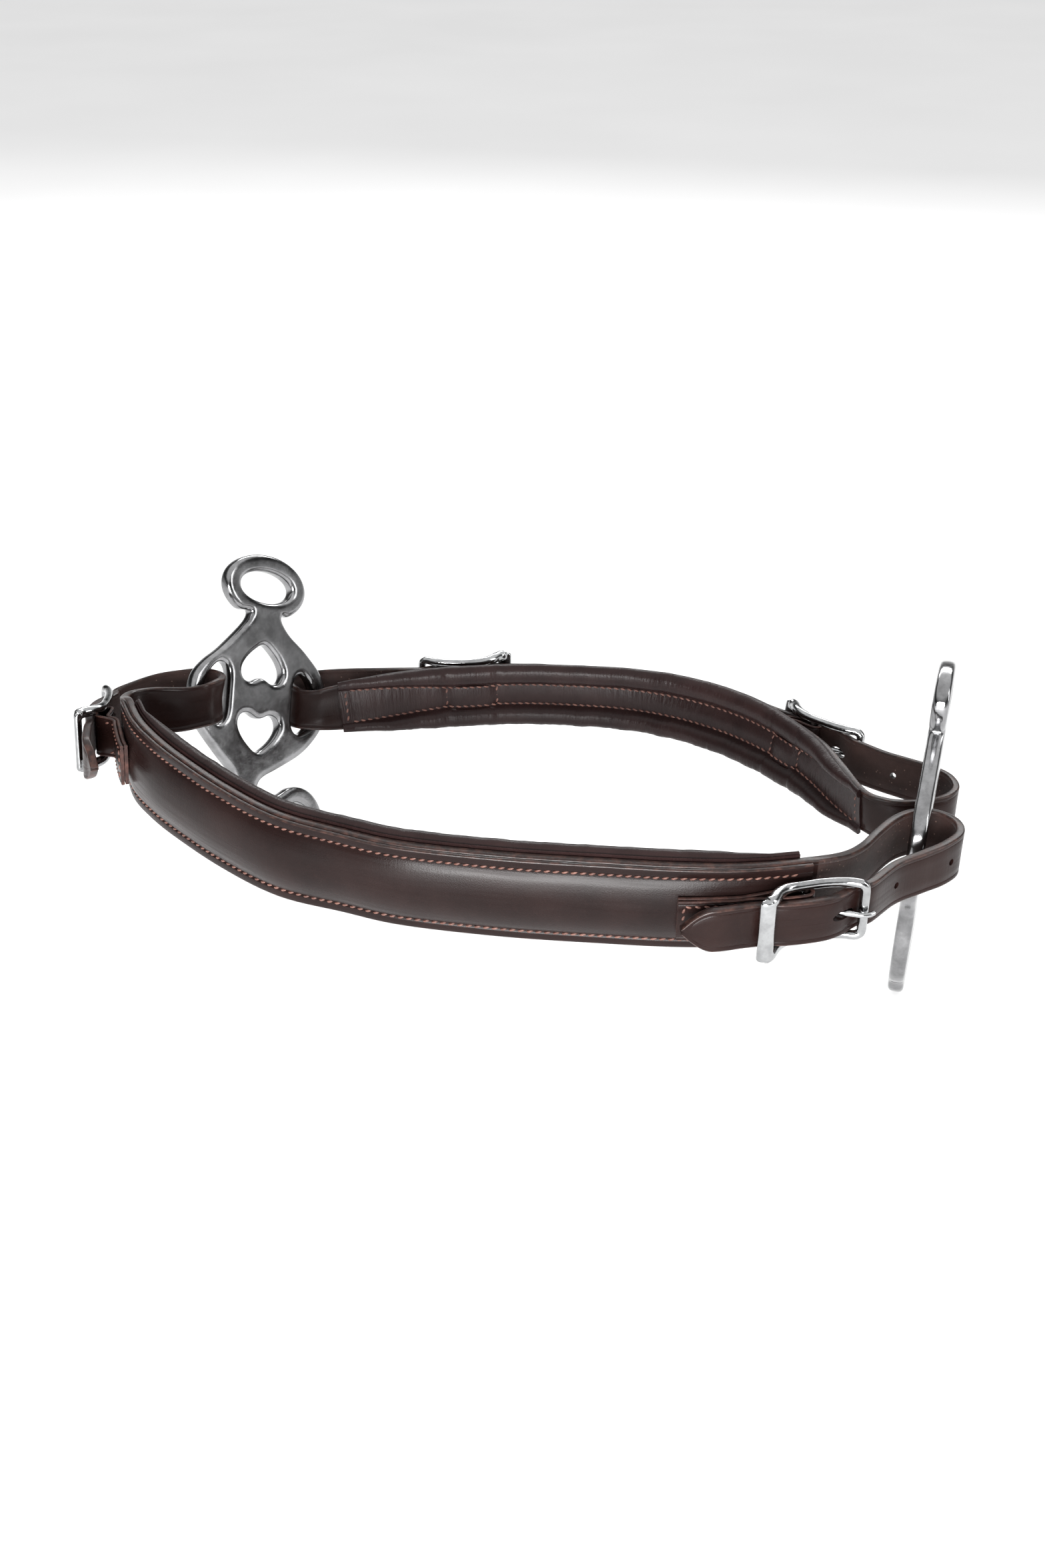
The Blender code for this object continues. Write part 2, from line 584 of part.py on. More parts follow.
def build_chin(mats, coll, cutters):
    right = moved(CHIN_RIGHT_TIP) + over_buckle("right_chin") + moved(CHIN_RIGHT_LOOP)
    left = moved(CHIN_LEFT_LOOP) + over_buckle("left_chin")[::-1] + moved(CHIN_LEFT_TIP)
    knots = right + moved(CHIN_BODY) + left
    strap = Strap(knots)
    base = leather("chin_strap", strap, flat_section(strap), CHIN_THICK, mats["leather"], coll)
    for key in ("left_chin", "right_chin"):
        punch(base, key, cutters)
    first, last = body_range(len(right), CHIN_BODY)
    body = strap.part(first, last)
    count = last - first
    fade = ends_in(count, 5)
    section = depth_section(body, CHIN_LINING, fade, 0.35)
    leather("chin_lining", body, section, LINING_THICK, mats["lining"], coll)
    roll = body.part(4, count - 4)
    for name, side in (("chin_upper_padding", 1), ("chin_lower_padding", -1)):
        outline = [(w * side, n) for w, n in CHIN_ROLL]
        swept(name, roll, depth_section(roll, outline, fade[4:count - 4], 0.35), True,
              mats["felt"], coll)
    level = CHIN_THICK / 2 + CHAPE_THICK / 2 + GAP
    for key, stations in (("right_chin", range(first + 12, first + 8, -1)),
                          ("left_chin", range(last - 12, last - 7))):
        build_chape(key, strap, [(i, level) for i in stations], mats["leather"], coll, cutters)


def moved(knots):
    x, y, z = STAND
    return [(k[0] + x, k[1] + y, k[2] + z, *k[3:]) for k in knots]


def shade():
    for obj in bpy.data.objects:
        if obj.type == "MESH":
            obj.data.shade_smooth()
            obj.data.set_sharp_from_angle(angle=math.radians(40))


def main():
    clear_scene()
    coll = collection(NAME)
    cutters = collection("cutters")
    mats = {
        "steel": material("polished_steel", (0.62, 0.63, 0.64), 0.16, 1.0),
        "leather": material("brown_leather", (0.045, 0.028, 0.023), 0.42),
        "lining": material("soft_lining_leather", (0.055, 0.040, 0.036), 0.48),
        "felt": material("felt_padding", (0.25, 0.24, 0.22), 0.95),
    }
    build_plates(mats["steel"], coll)
    build_noseband(mats, coll, cutters)
    build_chin(mats, coll, cutters)
    for key in BUCKLES:
        build_frame(key, mats["steel"], coll, cutters)
        build_tongue(key, mats["steel"], coll)
    shade()


if __name__ == "__main__":
    main()
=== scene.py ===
"""The looks of the bitless-bridle noseband set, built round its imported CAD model.

Lengths are in millimetres until a mesh is made. A strap is a section carried along a smooth path:
w runs across it, n is its outward side.
"""
import math

import bmesh
import bpy
import numpy as np
from mathutils import Matrix, Vector


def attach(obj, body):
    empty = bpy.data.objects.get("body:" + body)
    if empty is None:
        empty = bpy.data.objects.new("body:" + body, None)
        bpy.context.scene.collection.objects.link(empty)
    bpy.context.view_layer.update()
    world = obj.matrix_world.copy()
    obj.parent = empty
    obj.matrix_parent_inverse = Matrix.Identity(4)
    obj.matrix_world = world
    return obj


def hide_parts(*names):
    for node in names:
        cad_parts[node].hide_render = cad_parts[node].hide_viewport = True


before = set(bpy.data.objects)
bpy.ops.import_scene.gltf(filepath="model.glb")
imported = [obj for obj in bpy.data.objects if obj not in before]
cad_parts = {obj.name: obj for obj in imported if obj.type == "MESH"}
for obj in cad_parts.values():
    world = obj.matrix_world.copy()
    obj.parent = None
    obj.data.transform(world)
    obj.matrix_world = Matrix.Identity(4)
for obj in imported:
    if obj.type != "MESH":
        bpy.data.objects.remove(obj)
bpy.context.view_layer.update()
MM = 0.001
GAP = 0.3                       # clearance between parts that lie on each other
STAND = (3.41, -17.37, 92.92)   # from the tables' origin to the shared frame's

# Leather
STRAP_THICK = 3.4               # noseband strap and its billets
CHIN_THICK = 3.0
FACE_THICK = 1.6
CHAPE_THICK = 1.5
BILLET_HALF = 9.2
CHAPE_HALF = 9.2

# Cheek plate, drawn flat: u runs to the rear, w runs up, origin between the two hearts
PLATE_LENGTH = 150.0
DRAWN_LENGTH = 139.8            # the outline below is drawn at this length and scaled
PLATE_THICK = 6.8
PLATE_ROUND = 1.9
PLATES = {                      # place of the origin, direction to the rear, direction up
    "left": ((-122.5, 99.5, -12.0), (0.685, 0.580, -0.440), (0.065, 0.545, 0.835)),
    "right": ((162.5, -16.0, -8.5), (0.250, 0.900, -0.350), (0.118, 0.315, 0.940)),
}

# Buckle, in its own side view: x along the strap (keeper at minus x), n away from the noseband
KEEPER_X, KEEPER_N = -17.5, 8.4
END_BAR_X, END_BAR_N = 22.0, 4.4
RAIL_W = 11.5                   # middle of each side rail from the strap's middle
WIRE = 1.9
MID_BAR = 1.6
TONGUE_WIRE = 1.25
HOLE_X = 13.5                   # where the tongue comes through the billet
HOLE_LENGTH, HOLE_WIDTH = 9.6, 3.8
SPARE_HOLE = 1.35               # radius of a spare punched hole
SPARE_HOLES_AT = (31.0, 60.0)   # from the hole in use
# The billet's run under the keeper, over the mid bar and under the end bar
BILLET_RUN = [(-24.0, 3.3), (-16.0, 4.0), (-8.5, 5.7), (0.0, 6.35), (7.0, 6.1), (12.5, 4.5),
              (17.5, 1.9), (22.0, 0.05), (26.5, -0.3)]

# Name: middle of the mid bar, direction along the strap towards the end bar, width lean
BUCKLES = {
    "left_nose": ((-181.8, 53.3, -2.5), (-0.020, 0.985, -0.155), (0.03, 0.16)),
    "right_nose": ((103.0, -94.6, 0.6), (0.968, 0.250, 0.0), (-0.04, -0.02)),
    "left_chin": ((-26.0, 132.2, -21.5), (-1.0, -0.02, 0.0), (0.00, 0.05)),
    "right_chin": ((129.0, 68.5, -18.5), (0.75, -0.66, 0.0), (0.13, 0.17)),
}
OUTWARD = {"left_nose": (-1, 0, 0), "right_nose": (0, -1, 0), "left_chin": (0, 1, 0),
           "right_chin": (1, 1, 0)}

# Paths of the straps: (x, y, z, lean x, lean y, half width), BILLET_HALF if left out
NOSE_LEFT_TIP = [
    (-177.0, 6.0, 4.0, 0.07, 0, 1.5), (-179.3, 11.0, 3.5, 0.07, 0, 8.0),
    (-182.5, 17.0, 3.0, 0.07, 0.05),
]
NOSE_LEFT_LOOP = [
    (-175.5, 83.5, -5.5, 0.05, 0.30), (-164.5, 88.0, -3.5, 0.05, 0.50),
    (-153.0, 88.0, -1.5, 0.05, 0.60), (-145.0, 87.5, -0.5, 0.08, 0.62),
    (-139.0, 84.0, 0, 0.09, 0.65), (-136.3, 78.0, 0, 0.09, 0.65), (-138.5, 72.0, 0, 0.09, 0.65),
    (-144.0, 68.5, 0, 0.09, 0.62, 9.3), (-151.0, 66.0, 0, 0.05, 0.55, 9.8),
    (-162.0, 64.5, 0, 0, 0.40, 10.5), (-170.5, 60.0, 0, -0.02, 0.20, 11.5),
    (-172.5, 51.0, 0, 0, 0.10, 14.0),
]
NOSE_BODY = [
    (-168.7, 41.4, 0, 0.03, 0.03, 18.0), (-161.8, 22.7, 0, 0.06, 0.03, 19.0),
    (-153.6, 9.0, 0, 0.07, 0.02, 19.0), (-140.8, -7.6, 0, 0.05, 0.02, 19.0),
    (-118.0, -32.4, 0, 0.02, 0, 19.0), (-94.0, -53.0, 0, 0, -0.04, 19.0),
    (-68.6, -64.7, 0, 0, -0.10, 19.0), (-45.0, -74.0, 0, 0, -0.11, 19.0),
    (-7.1, -81.6, 0, 0, -0.11, 19.0), (28.2, -85.8, 0, 0, -0.11, 19.0),
    (57.0, -88.5, 0, 0, -0.12, 19.0), (81.6, -88.4, 0, 0, -0.11, 18.6),
    (105.0, -84.0, 0, 0, -0.08, 17.6),
]
NOSE_RIGHT_LOOP = [
    (119.5, -74.5, 0, 0, -0.06, 13.5), (129.0, -63.5, 0, 0, -0.03, 10.4),
    (137.0, -52.0, 0, 0.02, 0.05, 9.4), (145.0, -42.5, 0, 0.05, 0.12),
    (153.5, -37.5, 0, 0.06, 0.18), (162.0, -38.0, 0, 0.07, 0.20), (168.0, -44.5, 0, 0.07, 0.18),
    (168.0, -53.0, 0, 0.05, 0.12), (161.5, -60.5, 0, 0, 0.05), (152.0, -66.8, 0, 0, 0),
    (140.0, -74.5, 0, 0, 0),
]
NOSE_RIGHT_TIP = [
    (70.0, -106.2, 0.6, 0, -0.02), (62.5, -106.4, 0.6, 0, -0.02, 8.0),
    (57.0, -106.6, 0.6, 0, -0.02, 1.5),
]
CHIN_RIGHT_TIP = [
    (95.0, 100.0, -18.5, 0.13, 0.17, 1.5), (99.0, 97.0, -18.5, 0.13, 0.17, 8.0),
    (103.5, 94.0, -18.5, 0.13, 0.17),
]
CHIN_RIGHT_LOOP = [
    (157.0, 44.5, -19.0, 0.06, 0.15), (165.5, 38.5, -19.0, 0.06, 0.20),
    (174.0, 32.5, -19.0, 0.07, 0.22), (181.0, 24.5, -19.0, 0.07, 0.22),
    (182.5, 15.0, -19.0, 0.07, 0.22), (178.0, 7.5, -19.0, 0.07, 0.22),
    (169.5, 3.6, -19.0, 0.07, 0.20), (160.0, 2.4, -19.0, 0.05, 0.12),
    (151.5, 3.8, -19.0, 0, 0.05, 9.5),
]
CHIN_BODY = [
    (144.0, 10.5, -18.8, -0.10, -0.08, 10.2), (136.5, 28.5, -18.5, 0, 0, 11.8),
    (127.0, 49.0, -18.0, 0.12, 0.07, 13.0), (106.0, 79.0, -18.5, 0.20, 0.25, 13.5),
    (81.0, 101.0, -19.0, 0.12, 0.25, 13.5), (53.0, 116.0, -20.0, 0.05, 0.12, 13.5),
    (21.0, 123.5, -21.0, 0, 0.06, 13.5), (-8.0, 125.5, -21.5, 0, 0.05, 13.5),
    (-50.0, 121.5, -22.5, 0, 0.15, 13.0), (-86.0, 113.0, -23.5, 0.06, 0.42, 10.6),
]
CHIN_LEFT_LOOP = [
    (-97.0, 111.0, -24.0, 0.09, 0.58, 9.4), (-105.6, 112.8, -24.0, 0.09, 0.65),
    (-109.6, 118.5, -24.0, 0.09, 0.65), (-108.8, 125.5, -24.0, 0.09, 0.65),
    (-103.5, 130.5, -24.0, 0.09, 0.62), (-95.0, 132.4, -23.7, 0.08, 0.55),
    (-84.0, 132.8, -23.2, 0.05, 0.42), (-70.0, 132.2, -22.5, 0.02, 0.25),
]
CHIN_LEFT_TIP = [
    (10.0, 135.3, -21.5, 0, 0.05), (17.0, 135.0, -21.5, 0, 0.05, 8.0),
    (22.5, 134.8, -21.5, 0, 0.05, 1.5),
]

# The cheek plate's outline: centre, size and hole of its two rings, then edges and openings
RING_AT, RING_SIZE, RING_HOLE = (-1.0, 48.0), (21.5, 14.0), (14.6, 7.0)
REIN_AT, REIN_SIZE, REIN_HOLE = (24.5, -55.0), (15.8, 19.0), (9.4, 12.6)
FRONT_EDGE = [(-8.6, 37.0), (-9.2, 33.5), (-13.8, 28.0), (-22.5, 19.2), (-30.0, 13.0),
              (-35.0, 6.5), (-36.6, -1.0), (-35.0, -8.5), (-30.0, -16.0), (-18.5, -27.0),
              (-12.0, -32.5), (-8.6, -38.0), (-6.8, -47.0), (-3.0, -56.0), (4.5, -64.5)]
REAR_EDGE = [(6.0, -44.5), (2.2, -40.5), (2.2, -36.5), (5.2, -33.2), (13.0, -28.9), (25.0, -21.4),
             (33.5, -12.0), (37.0, -3.0), (36.6, 5.0), (33.0, 14.0), (23.0, 23.0), (14.0, 29.0),
             (9.2, 34.0), (8.6, 37.0)]
HEART = [(0.0, 24.6), (5.5, 21.4), (10.3, 16.6), (12.6, 11.6), (11.0, 7.2), (6.6, 6.0), (2.4, 7.8)]
HEART_NOTCH = (0.0, 8.4)
SLOT = [(17.0, 0.0), (17.2, 8.5), (19.0, 12.8), (22.5, 14.0), (26.5, 10.8), (29.6, 5.0)]
SLOT_TIP = (30.4, 0.0)
# How far each opening is drawn in to allow for the smoothing: outline, two rings, hearts, slots
DRAWN_IN = (1.0, 0.95, 0.95, 0.88, 0.88, 0.94, 0.94)

CHAPE_SLOT = (14.0, 12.0, 4.4)  # length, depth and width of the tongue's slot
CHAPE_FOLD = [(-9.0, -2.7), (-3.0, -2.75), (1.4, -2.4), (3.0, 0.0), (1.4, 2.4), (-3.0, 2.75),
              (-9.0, 2.2)]

KEEPER_HALF = 3.3               # half the keeper bar's length along the strap
KEEPER_DOME, KEEPER_UNDER = 1.9, 1.35
# The keeper's size at each place across the strap: (z, share)
KEEPER_PROFILE = [(-13.3, 0.45), (-13.1, 0.75), (-12.6, 0.93), (-11.8, 1.0), (-10.6, 1.0),
                  (-10.3, 0.95), (-10.0, 1.0), (0.0, 0.97), (10.0, 1.0), (11.8, 1.0),
                  (12.6, 0.93), (13.1, 0.75), (13.3, 0.45)]
RAIL = [(-17.5, 8.4), (-15.0, 7.0), (-11.5, 3.2), (-7.0, 0.7), (0.0, 0.0), (9.0, 0.3),
        (16.0, 1.8), (19.5, 3.5)]
PRONG = [(5.5, -0.6), (9.0, 1.4), (13.5, 3.9), (17.5, 6.0), (20.0, 7.6), (22.5, 8.0), (24.9, 7.3)]

FINE = 7                        # stations to a span between two knots
CAD_FINE = 3                    # the same in the CAD model, which places the chapes
STITCH_LENGTH = 2.95


def arc(centre, size, start, end, count):
    """Points on an oval from one angle to another, in degrees."""
    angles = np.radians(np.linspace(start, end, count))
    return [(centre[0] + size[0] * math.cos(a), centre[1] + size[1] * math.sin(a)) for a in angles]


def mirrored(half, far, flip):
    """A closed outline from one half: flip (-1, 1) mirrors left to right, (1, -1) top to bottom."""
    other = [(u * flip[0], w * flip[1]) for u, w in reversed(half[1:])]
    return half + [far] + other


def plate_outlines():
    """The plate's edge, then its openings: top ring, rein ring, two hearts and two slots."""
    outer = (arc(RING_AT, RING_SIZE, -52, 232, 15) + FRONT_EDGE
             + arc(REIN_AT, REIN_SIZE, 222, 488, 14) + REAR_EDGE)
    heart = mirrored(HEART, HEART_NOTCH, (-1, 1))
    slot = mirrored(SLOT, SLOT_TIP, (1, -1))
    shapes = [outer, heart, [(u, -w) for u, w in heart], slot, [(-u, w) for u, w in slot]]
    edge, *openings = [closed_smooth(points, 4) for points in shapes]
    rings = [np.array(arc(RING_AT, RING_HOLE, 0, 354, 60)),
             np.array(arc(REIN_AT, REIN_HOLE, 0, 354, 60))]
    return [edge, *rings, *openings]


# ---------------- paths

def catmull_rom(rows, steps):
    """Points on each span of a Catmull-Rom curve; the first and last rows only steer it."""
    t = (np.arange(steps) / steps)[:, None]
    spans = []
    for a, b, c, d in zip(rows, rows[1:], rows[2:], rows[3:]):
        cubic = 2 * a - 5 * b + 4 * c - d + t * (3 * (b - c) + d - a)
        spans.append(b + 0.5 * t * (c - a + t * cubic))
    return np.vstack(spans)


def smooth(knots, steps=FINE):
    """Stations on a smooth curve through the knots, from the first to the last."""
    rows = np.array(knots, float)
    rows = np.vstack([2 * rows[0] - rows[1], rows, 2 * rows[-1] - rows[-2]])
    return np.vstack([catmull_rom(rows, steps), rows[-2]])


def closed_smooth(points, steps=3):
    """A rounder closed outline through the same points."""
    rows = np.array(points, float)
    return catmull_rom(np.vstack([rows[-1:], rows, rows[:2]]), steps)


def unit(v):
    """Vectors of length one."""
    return v / np.linalg.norm(v, axis=-1, keepdims=True)


class Strap:
    """Where a strap lies: its middle, tangent t, width direction w, face normal n and length s."""

    def __init__(self, knots, steps=FINE):
        rows = smooth(knots, steps)
        self.mid = rows[:, :3]
        self.half = rows[:, 5]
        tangent = unit(np.gradient(self.mid, axis=0))
        lean = np.column_stack([rows[:, 3], rows[:, 4], np.ones(len(rows))])
        along = (lean * tangent).sum(axis=1, keepdims=True)
        self.w = unit(lean - along * tangent)
        self.n = np.cross(tangent, self.w)
        self.t = tangent
        steps = np.linalg.norm(np.diff(self.mid, axis=0), axis=1)
        self.s = np.concatenate([[0], np.cumsum(steps)])

    def copied(self, change):
        """Another strap, with each of its tables as change(name, table) gives it."""
        piece = object.__new__(Strap)
        for name, table in vars(self).items():
            setattr(piece, name, change(name, table))
        return piece

    def part(self, first, last):
        """A run of stations of the same path."""
        return self.copied(lambda name, table: table[first:last])

    def finer(self, pitch):
        """The same path with stations at an even pitch."""
        s = np.linspace(self.s[0], self.s[-1], int((self.s[-1] - self.s[0]) / pitch) + 1)

        def between(name, table):
            columns = [np.interp(s, self.s, column) for column in np.atleast_2d(table.T)]
            return s if name == "s" else np.array(columns).T.squeeze()
        return self.copied(between)

    def facing(self, sign):
        """The same path with its outward side on the other face if the sign is negative."""
        return self.copied(lambda name, table: table * sign if name == "n" else table)

    def half_at(self, s):
        """Half the width at a length along."""
        return float(np.interp(s, self.s, self.half))

    def at(self, s, w, n):
        """The point at a length along, with the directions along, across and outward there."""
        mid, along, across, out = [np.array([np.interp(s, self.s, column) for column in table.T])
                                   for table in (self.mid, self.t, self.w, self.n)]
        return mid + across * w + out * n, along, across, out


def moved(knots):
    """Knots brought into the shared frame, each with its half width."""
    return [(*np.add(knot[:3], STAND), *(*knot[3:], BILLET_HALF)[:3]) for knot in knots]


def axes_matrix(x, y, z, at):
    """The placement whose own axes lie along x, y and z, its origin at a point in mm."""
    return Matrix.Translation(Vector(at) * MM) @ Matrix((x, y, z)).transposed().to_4x4()


def buckle_matrix(key):
    """Own axes: x along the strap, y away from the horse, z across the strap."""
    at, along, lean = BUCKLES[key]
    x = Vector(along).normalized()
    w = Vector((*lean, 1.0))
    w = (w - x * w.dot(x)).normalized()
    n = x.cross(w)
    if n.dot(Vector(OUTWARD[key])) < 0:
        n = -n
    return axes_matrix(x, n, x.cross(n), np.add(at, STAND))


def plate_matrix(at, rear, up):
    """Own axes: x to the rear, y up, z through the plate."""
    w = Vector(up).normalized()
    u = Vector(rear)
    u = (u - w * u.dot(w)).normalized()
    return axes_matrix(u, w, u.cross(w), np.add(at, STAND))


def on_buckle(key, points, half):
    """Knots given as (x, n) in a buckle's side view."""
    place = buckle_matrix(key)
    across = place.to_3x3() @ Vector((0, 0, 1))
    across = across / across.z
    knots = []
    for x, n in points:
        p = place @ Vector((x * MM, n * MM, 0.0)) / MM
        knots.append((p.x, p.y, p.z, across.x, across.y, half))
    return knots


# ---------------- materials

def set_stops(ramp, stops):
    """Places and colours of a colour ramp's stops; one number is a grey."""
    while len(ramp.elements) < len(stops):
        ramp.elements.new(0.5)
    for item, (place, colour) in zip(ramp.elements, stops):
        item.position = place
        item.color = (*(colour if len(colour) == 3 else colour * 3), 1.0)


class Nodes:
    """A material's node tree, with short ways to add and join nodes."""

    def __init__(self, name):
        self.mat = bpy.data.materials.new(name)
        self.mat.use_nodes = True
        self.tree = self.mat.node_tree
        self.shader = self.tree.nodes["Principled BSDF"]
        self.place = self.add("TexCoord").outputs["Object"]

    def add(self, kind, links=None, **values):
        """A new node with the sockets in links joined and its inputs or settings given."""
        node = self.tree.nodes.new("ShaderNode" + kind)
        for key, value in values.items():
            if key in node.inputs:
                node.inputs[key].default_value = value
            else:
                setattr(node, key, value)
        for key, source in (links or {}).items():
            self.tree.links.new(source, node.inputs[key])
        return node

    def set(self, **values):
        """The shader's inputs, each from a socket or a value."""
        for key, value in values.items():
            socket = self.shader.inputs[key.replace("_", " ")]
            if hasattr(value, "links"):
                self.tree.links.new(value, socket)
            else:
                socket.default_value = value

    def noise(self, vector, scale, detail=4.0, rough=0.55):
        node = self.add("TexNoise", {"Vector": vector}, Scale=scale, Detail=detail, Roughness=rough)
        return node.outputs["Fac"]

    def cells(self, vector, scale):
        """Soft round cells, as the pores of grain leather."""
        node = self.add("TexVoronoi", {"Vector": vector}, Scale=scale, feature="SMOOTH_F1")
        return node.outputs["Distance"]

    def ramp(self, source, stops):
        """Colours or grey levels at places along a value from 0 to 1."""
        node = self.add("ValToRGB", {"Fac": source})
        set_stops(node.color_ramp, stops)
        return node.outputs["Color"]

    def stretched(self, along, across):
        """The strap's own coordinates, metres along and across, scaled apart."""
        uv = self.add("UVMap").outputs["UV"]
        return self.add("Mapping", {"Vector": uv}, Scale=(along, across, 1.0)).outputs["Vector"]

    def spread(self, value, low, high, start=0.0, stop=1.0):
        """A value's run from start to stop, mapped to low to high."""
        limits = {"From Min": start, "From Max": stop, "To Min": low, "To Max": high}
        return self.add("MapRange", {"Value": value}, **limits).outputs["Result"]

    def bump(self, heights, below=None):
        """Bumps on top of each other: (height socket, distance in mm, strength)."""
        normal = below
        for height, distance, strength in heights:
            links = {"Height": height}
            if normal is not None:
                links["Normal"] = normal
            node = self.add("Bump", links, Distance=distance * MM, Strength=strength)
            normal = node.outputs["Normal"]
        return normal


def mixed(nodes, fac, a, b):
    """Colour a turning to colour b as fac goes from 0 to 1."""
    node = nodes.add("Mix", data_type="RGBA")
    nodes.tree.links.new(fac, node.inputs["Factor"])
    for socket, value in ((node.inputs[6], a), (node.inputs[7], b)):
        if hasattr(value, "links"):
            nodes.tree.links.new(value, socket)
        else:
            socket.default_value = (*value, 1.0)
    return node.outputs[2]


def leather(name, dark, light, roughness, grain, wrinkle):
    """Grain side: fine pores, faint lengthwise wax streaks and fine transverse wrinkles."""
    m = Nodes(name)
    broad = m.noise(m.place, 45.0, 3.0)
    mottle = m.noise(m.place, 420.0, 5.0, 0.65)
    pores = m.cells(m.place, grain)
    fine = m.noise(m.place, grain * 1.7, 3.0)
    creases = m.noise(m.stretched(900.0, 70.0), 1.0, 3.0, 0.6)
    streaks = m.noise(m.stretched(25.0, 600.0), 1.0, 2.0)
    base = m.ramp(broad, [(0.3, dark), (0.72, light)])
    worn = tuple(c * 1.25 for c in light)
    spots = m.ramp(mottle, [(0.56, (0.0,)), (0.80, (0.45,))])
    m.set(Base_Color=mixed(m, spots, base, worn))
    m.set(Roughness=m.spread(streaks, roughness - 0.07, roughness + 0.09, 0.3, 0.7),
          Specular_IOR_Level=0.13, Coat_Weight=0.05, Coat_Roughness=0.2)
    m.set(Normal=m.bump([(broad, 0.5, 0.25), (creases, 0.10, wrinkle), (pores, 0.06, 0.5),
                         (fine, 0.03, 0.5)]))
    return m.mat


def burnished(name, dark, light, roughness):
    """A cut edge: compressed fibres running along it, waxed."""
    m = Nodes(name)
    fibres = m.noise(m.stretched(300.0, 2600.0), 1.0, 4.0)
    rubbed = m.noise(m.place, 260.0, 5.0, 0.7)
    m.set(Base_Color=mixed(m, m.ramp(rubbed, [(0.45, (0.0,)), (0.68, (1.0,))]), dark, light))
    m.set(Roughness=m.spread(rubbed, roughness - 0.1, roughness + 0.2),
          Specular_IOR_Level=0.3, Coat_Weight=0.1, Coat_Roughness=0.25)
    m.set(Normal=m.bump([(fibres, 0.15, 0.5), (rubbed, 0.2, 0.5)]))
    return m.mat


def flesh(name, dark, light):
    """The rough side: nap with pale flecks."""
    m = Nodes(name)
    nap = m.noise(m.place, 900.0, 6.0, 0.75)
    patches = m.noise(m.place, 120.0, 4.0)
    flecks = m.add("TexVoronoi", {"Vector": m.place}, Scale=420.0).outputs["Distance"]
    base = m.ramp(patches, [(0.3, dark), (0.75, light)])
    pale = m.ramp(flecks, [(0.05, (0.8,)), (0.16, (0.0,))])
    m.set(Base_Color=mixed(m, pale, base, (0.16, 0.10, 0.08)))
    m.set(Roughness=0.66, Specular_IOR_Level=0.25, Sheen_Weight=0.06, Sheen_Roughness=0.5)
    m.set(Normal=m.bump([(patches, 0.4, 0.3), (nap, 0.25, 0.9)]))
    return m.mat


def soft_leather(name, dark, light):
    """Lining leather drawn over padding: close transverse wrinkles and a satin surface."""
    m = Nodes(name)
    broad = m.noise(m.place, 60.0, 3.0)
    wrinkles = m.noise(m.stretched(520.0, 60.0), 1.0, 4.0, 0.6)
    close = m.noise(m.stretched(1300.0, 260.0), 1.0, 3.0, 0.6)
    grain = m.cells(m.place, 1500.0)
    m.set(Base_Color=m.ramp(broad, [(0.3, dark), (0.7, light)]))
    m.set(Roughness=0.35, Specular_IOR_Level=0.19)
    m.set(Normal=m.bump([(wrinkles, 0.45, 0.7), (close, 0.18, 0.7), (grain, 0.06, 0.6)]))
    return m.mat


def thread(name, dark, light):
    """Twisted linen thread, with painted shade between its plies, and worn paler here and there."""
    m = Nodes(name)
    twist = m.noise(m.place, 1800.0, 3.0)
    worn = m.noise(m.place, 90.0, 3.0)
    base = mixed(m, m.ramp(worn, [(0.35, (0.0,)), (0.7, (1.0,))]), dark, light)
    # painted shade: darker colour in the low parts of the twist's bumps, between the plies
    between = m.ramp(twist, [(0.35, (0.55,)), (0.5, (0.0,))])
    m.set(Base_Color=mixed(m, between, base, tuple(c * 0.45 for c in dark)))
    m.set(Roughness=0.5, Specular_IOR_Level=0.4)
    m.set(Normal=m.bump([(twist, 0.12, 0.7)]))
    return m.mat


def steel(name, tint, roughness, cast):
    """Polished stainless: soft waves left by hand polishing, smudges that vary its roughness,
    painted reflections as darker and lighter patches of its colour, and a slight casting skin.
    """
    m = Nodes(name)
    waves = m.noise(m.place, 110.0, 3.0)
    skin = m.noise(m.place, 900.0, 5.0, 0.65)
    smudge_and_painted_reflection = m.noise(m.place, 70.0, 6.0, 0.7)
    # painted reflections: the colour turns darker and lighter in patches on the smudge noise
    painted_dark_reflection, clear = tuple(c * 0.62 for c in tint), tuple(c * 1.12 for c in tint)
    m.set(Base_Color=m.ramp(smudge_and_painted_reflection, [(0.36, painted_dark_reflection), (0.66, clear)]), Metallic=1.0)
    m.set(Roughness=m.spread(smudge_and_painted_reflection, roughness, roughness + 0.12, 0.3, 0.7))
    m.set(Normal=m.bump([(waves, 0.5, 0.18), (skin, 0.05, cast)]))
    return m.mat


# Colours: the darker and the lighter tone of each
GRAIN = leather("brown_bridle_leather", (0.0088, 0.0037, 0.0032), (0.0150, 0.0068, 0.0058),
                0.33, 2600.0, 0.50)
PANEL = leather("brown_panel_leather", (0.0070, 0.0033, 0.0030), (0.0125, 0.0061, 0.0055),
                0.31, 2300.0, 0.30)
EDGE = burnished("burnished_edge", (0.012, 0.0055, 0.0045), (0.052, 0.023, 0.017), 0.30)
RAW = burnished("raw_chape_edge", (0.024, 0.0095, 0.0075), (0.080, 0.034, 0.026), 0.60)
FLESH = flesh("flesh_side", (0.0170, 0.0070, 0.0055), (0.0300, 0.0135, 0.0108))
LINING_SKIN = soft_leather("soft_lining_leather", (0.0115, 0.0056, 0.0054),
                           (0.0200, 0.0100, 0.0096))
THREAD = thread("copper_brown_thread", (0.085, 0.034, 0.025), (0.175, 0.084, 0.064))
CAST = steel("cast_polished_steel", (0.31, 0.31, 0.315), 0.11, 0.30)
BRIGHT = steel("polished_buckle_steel", (0.42, 0.425, 0.43), 0.09, 0.12)


# ---------------- mesh tools

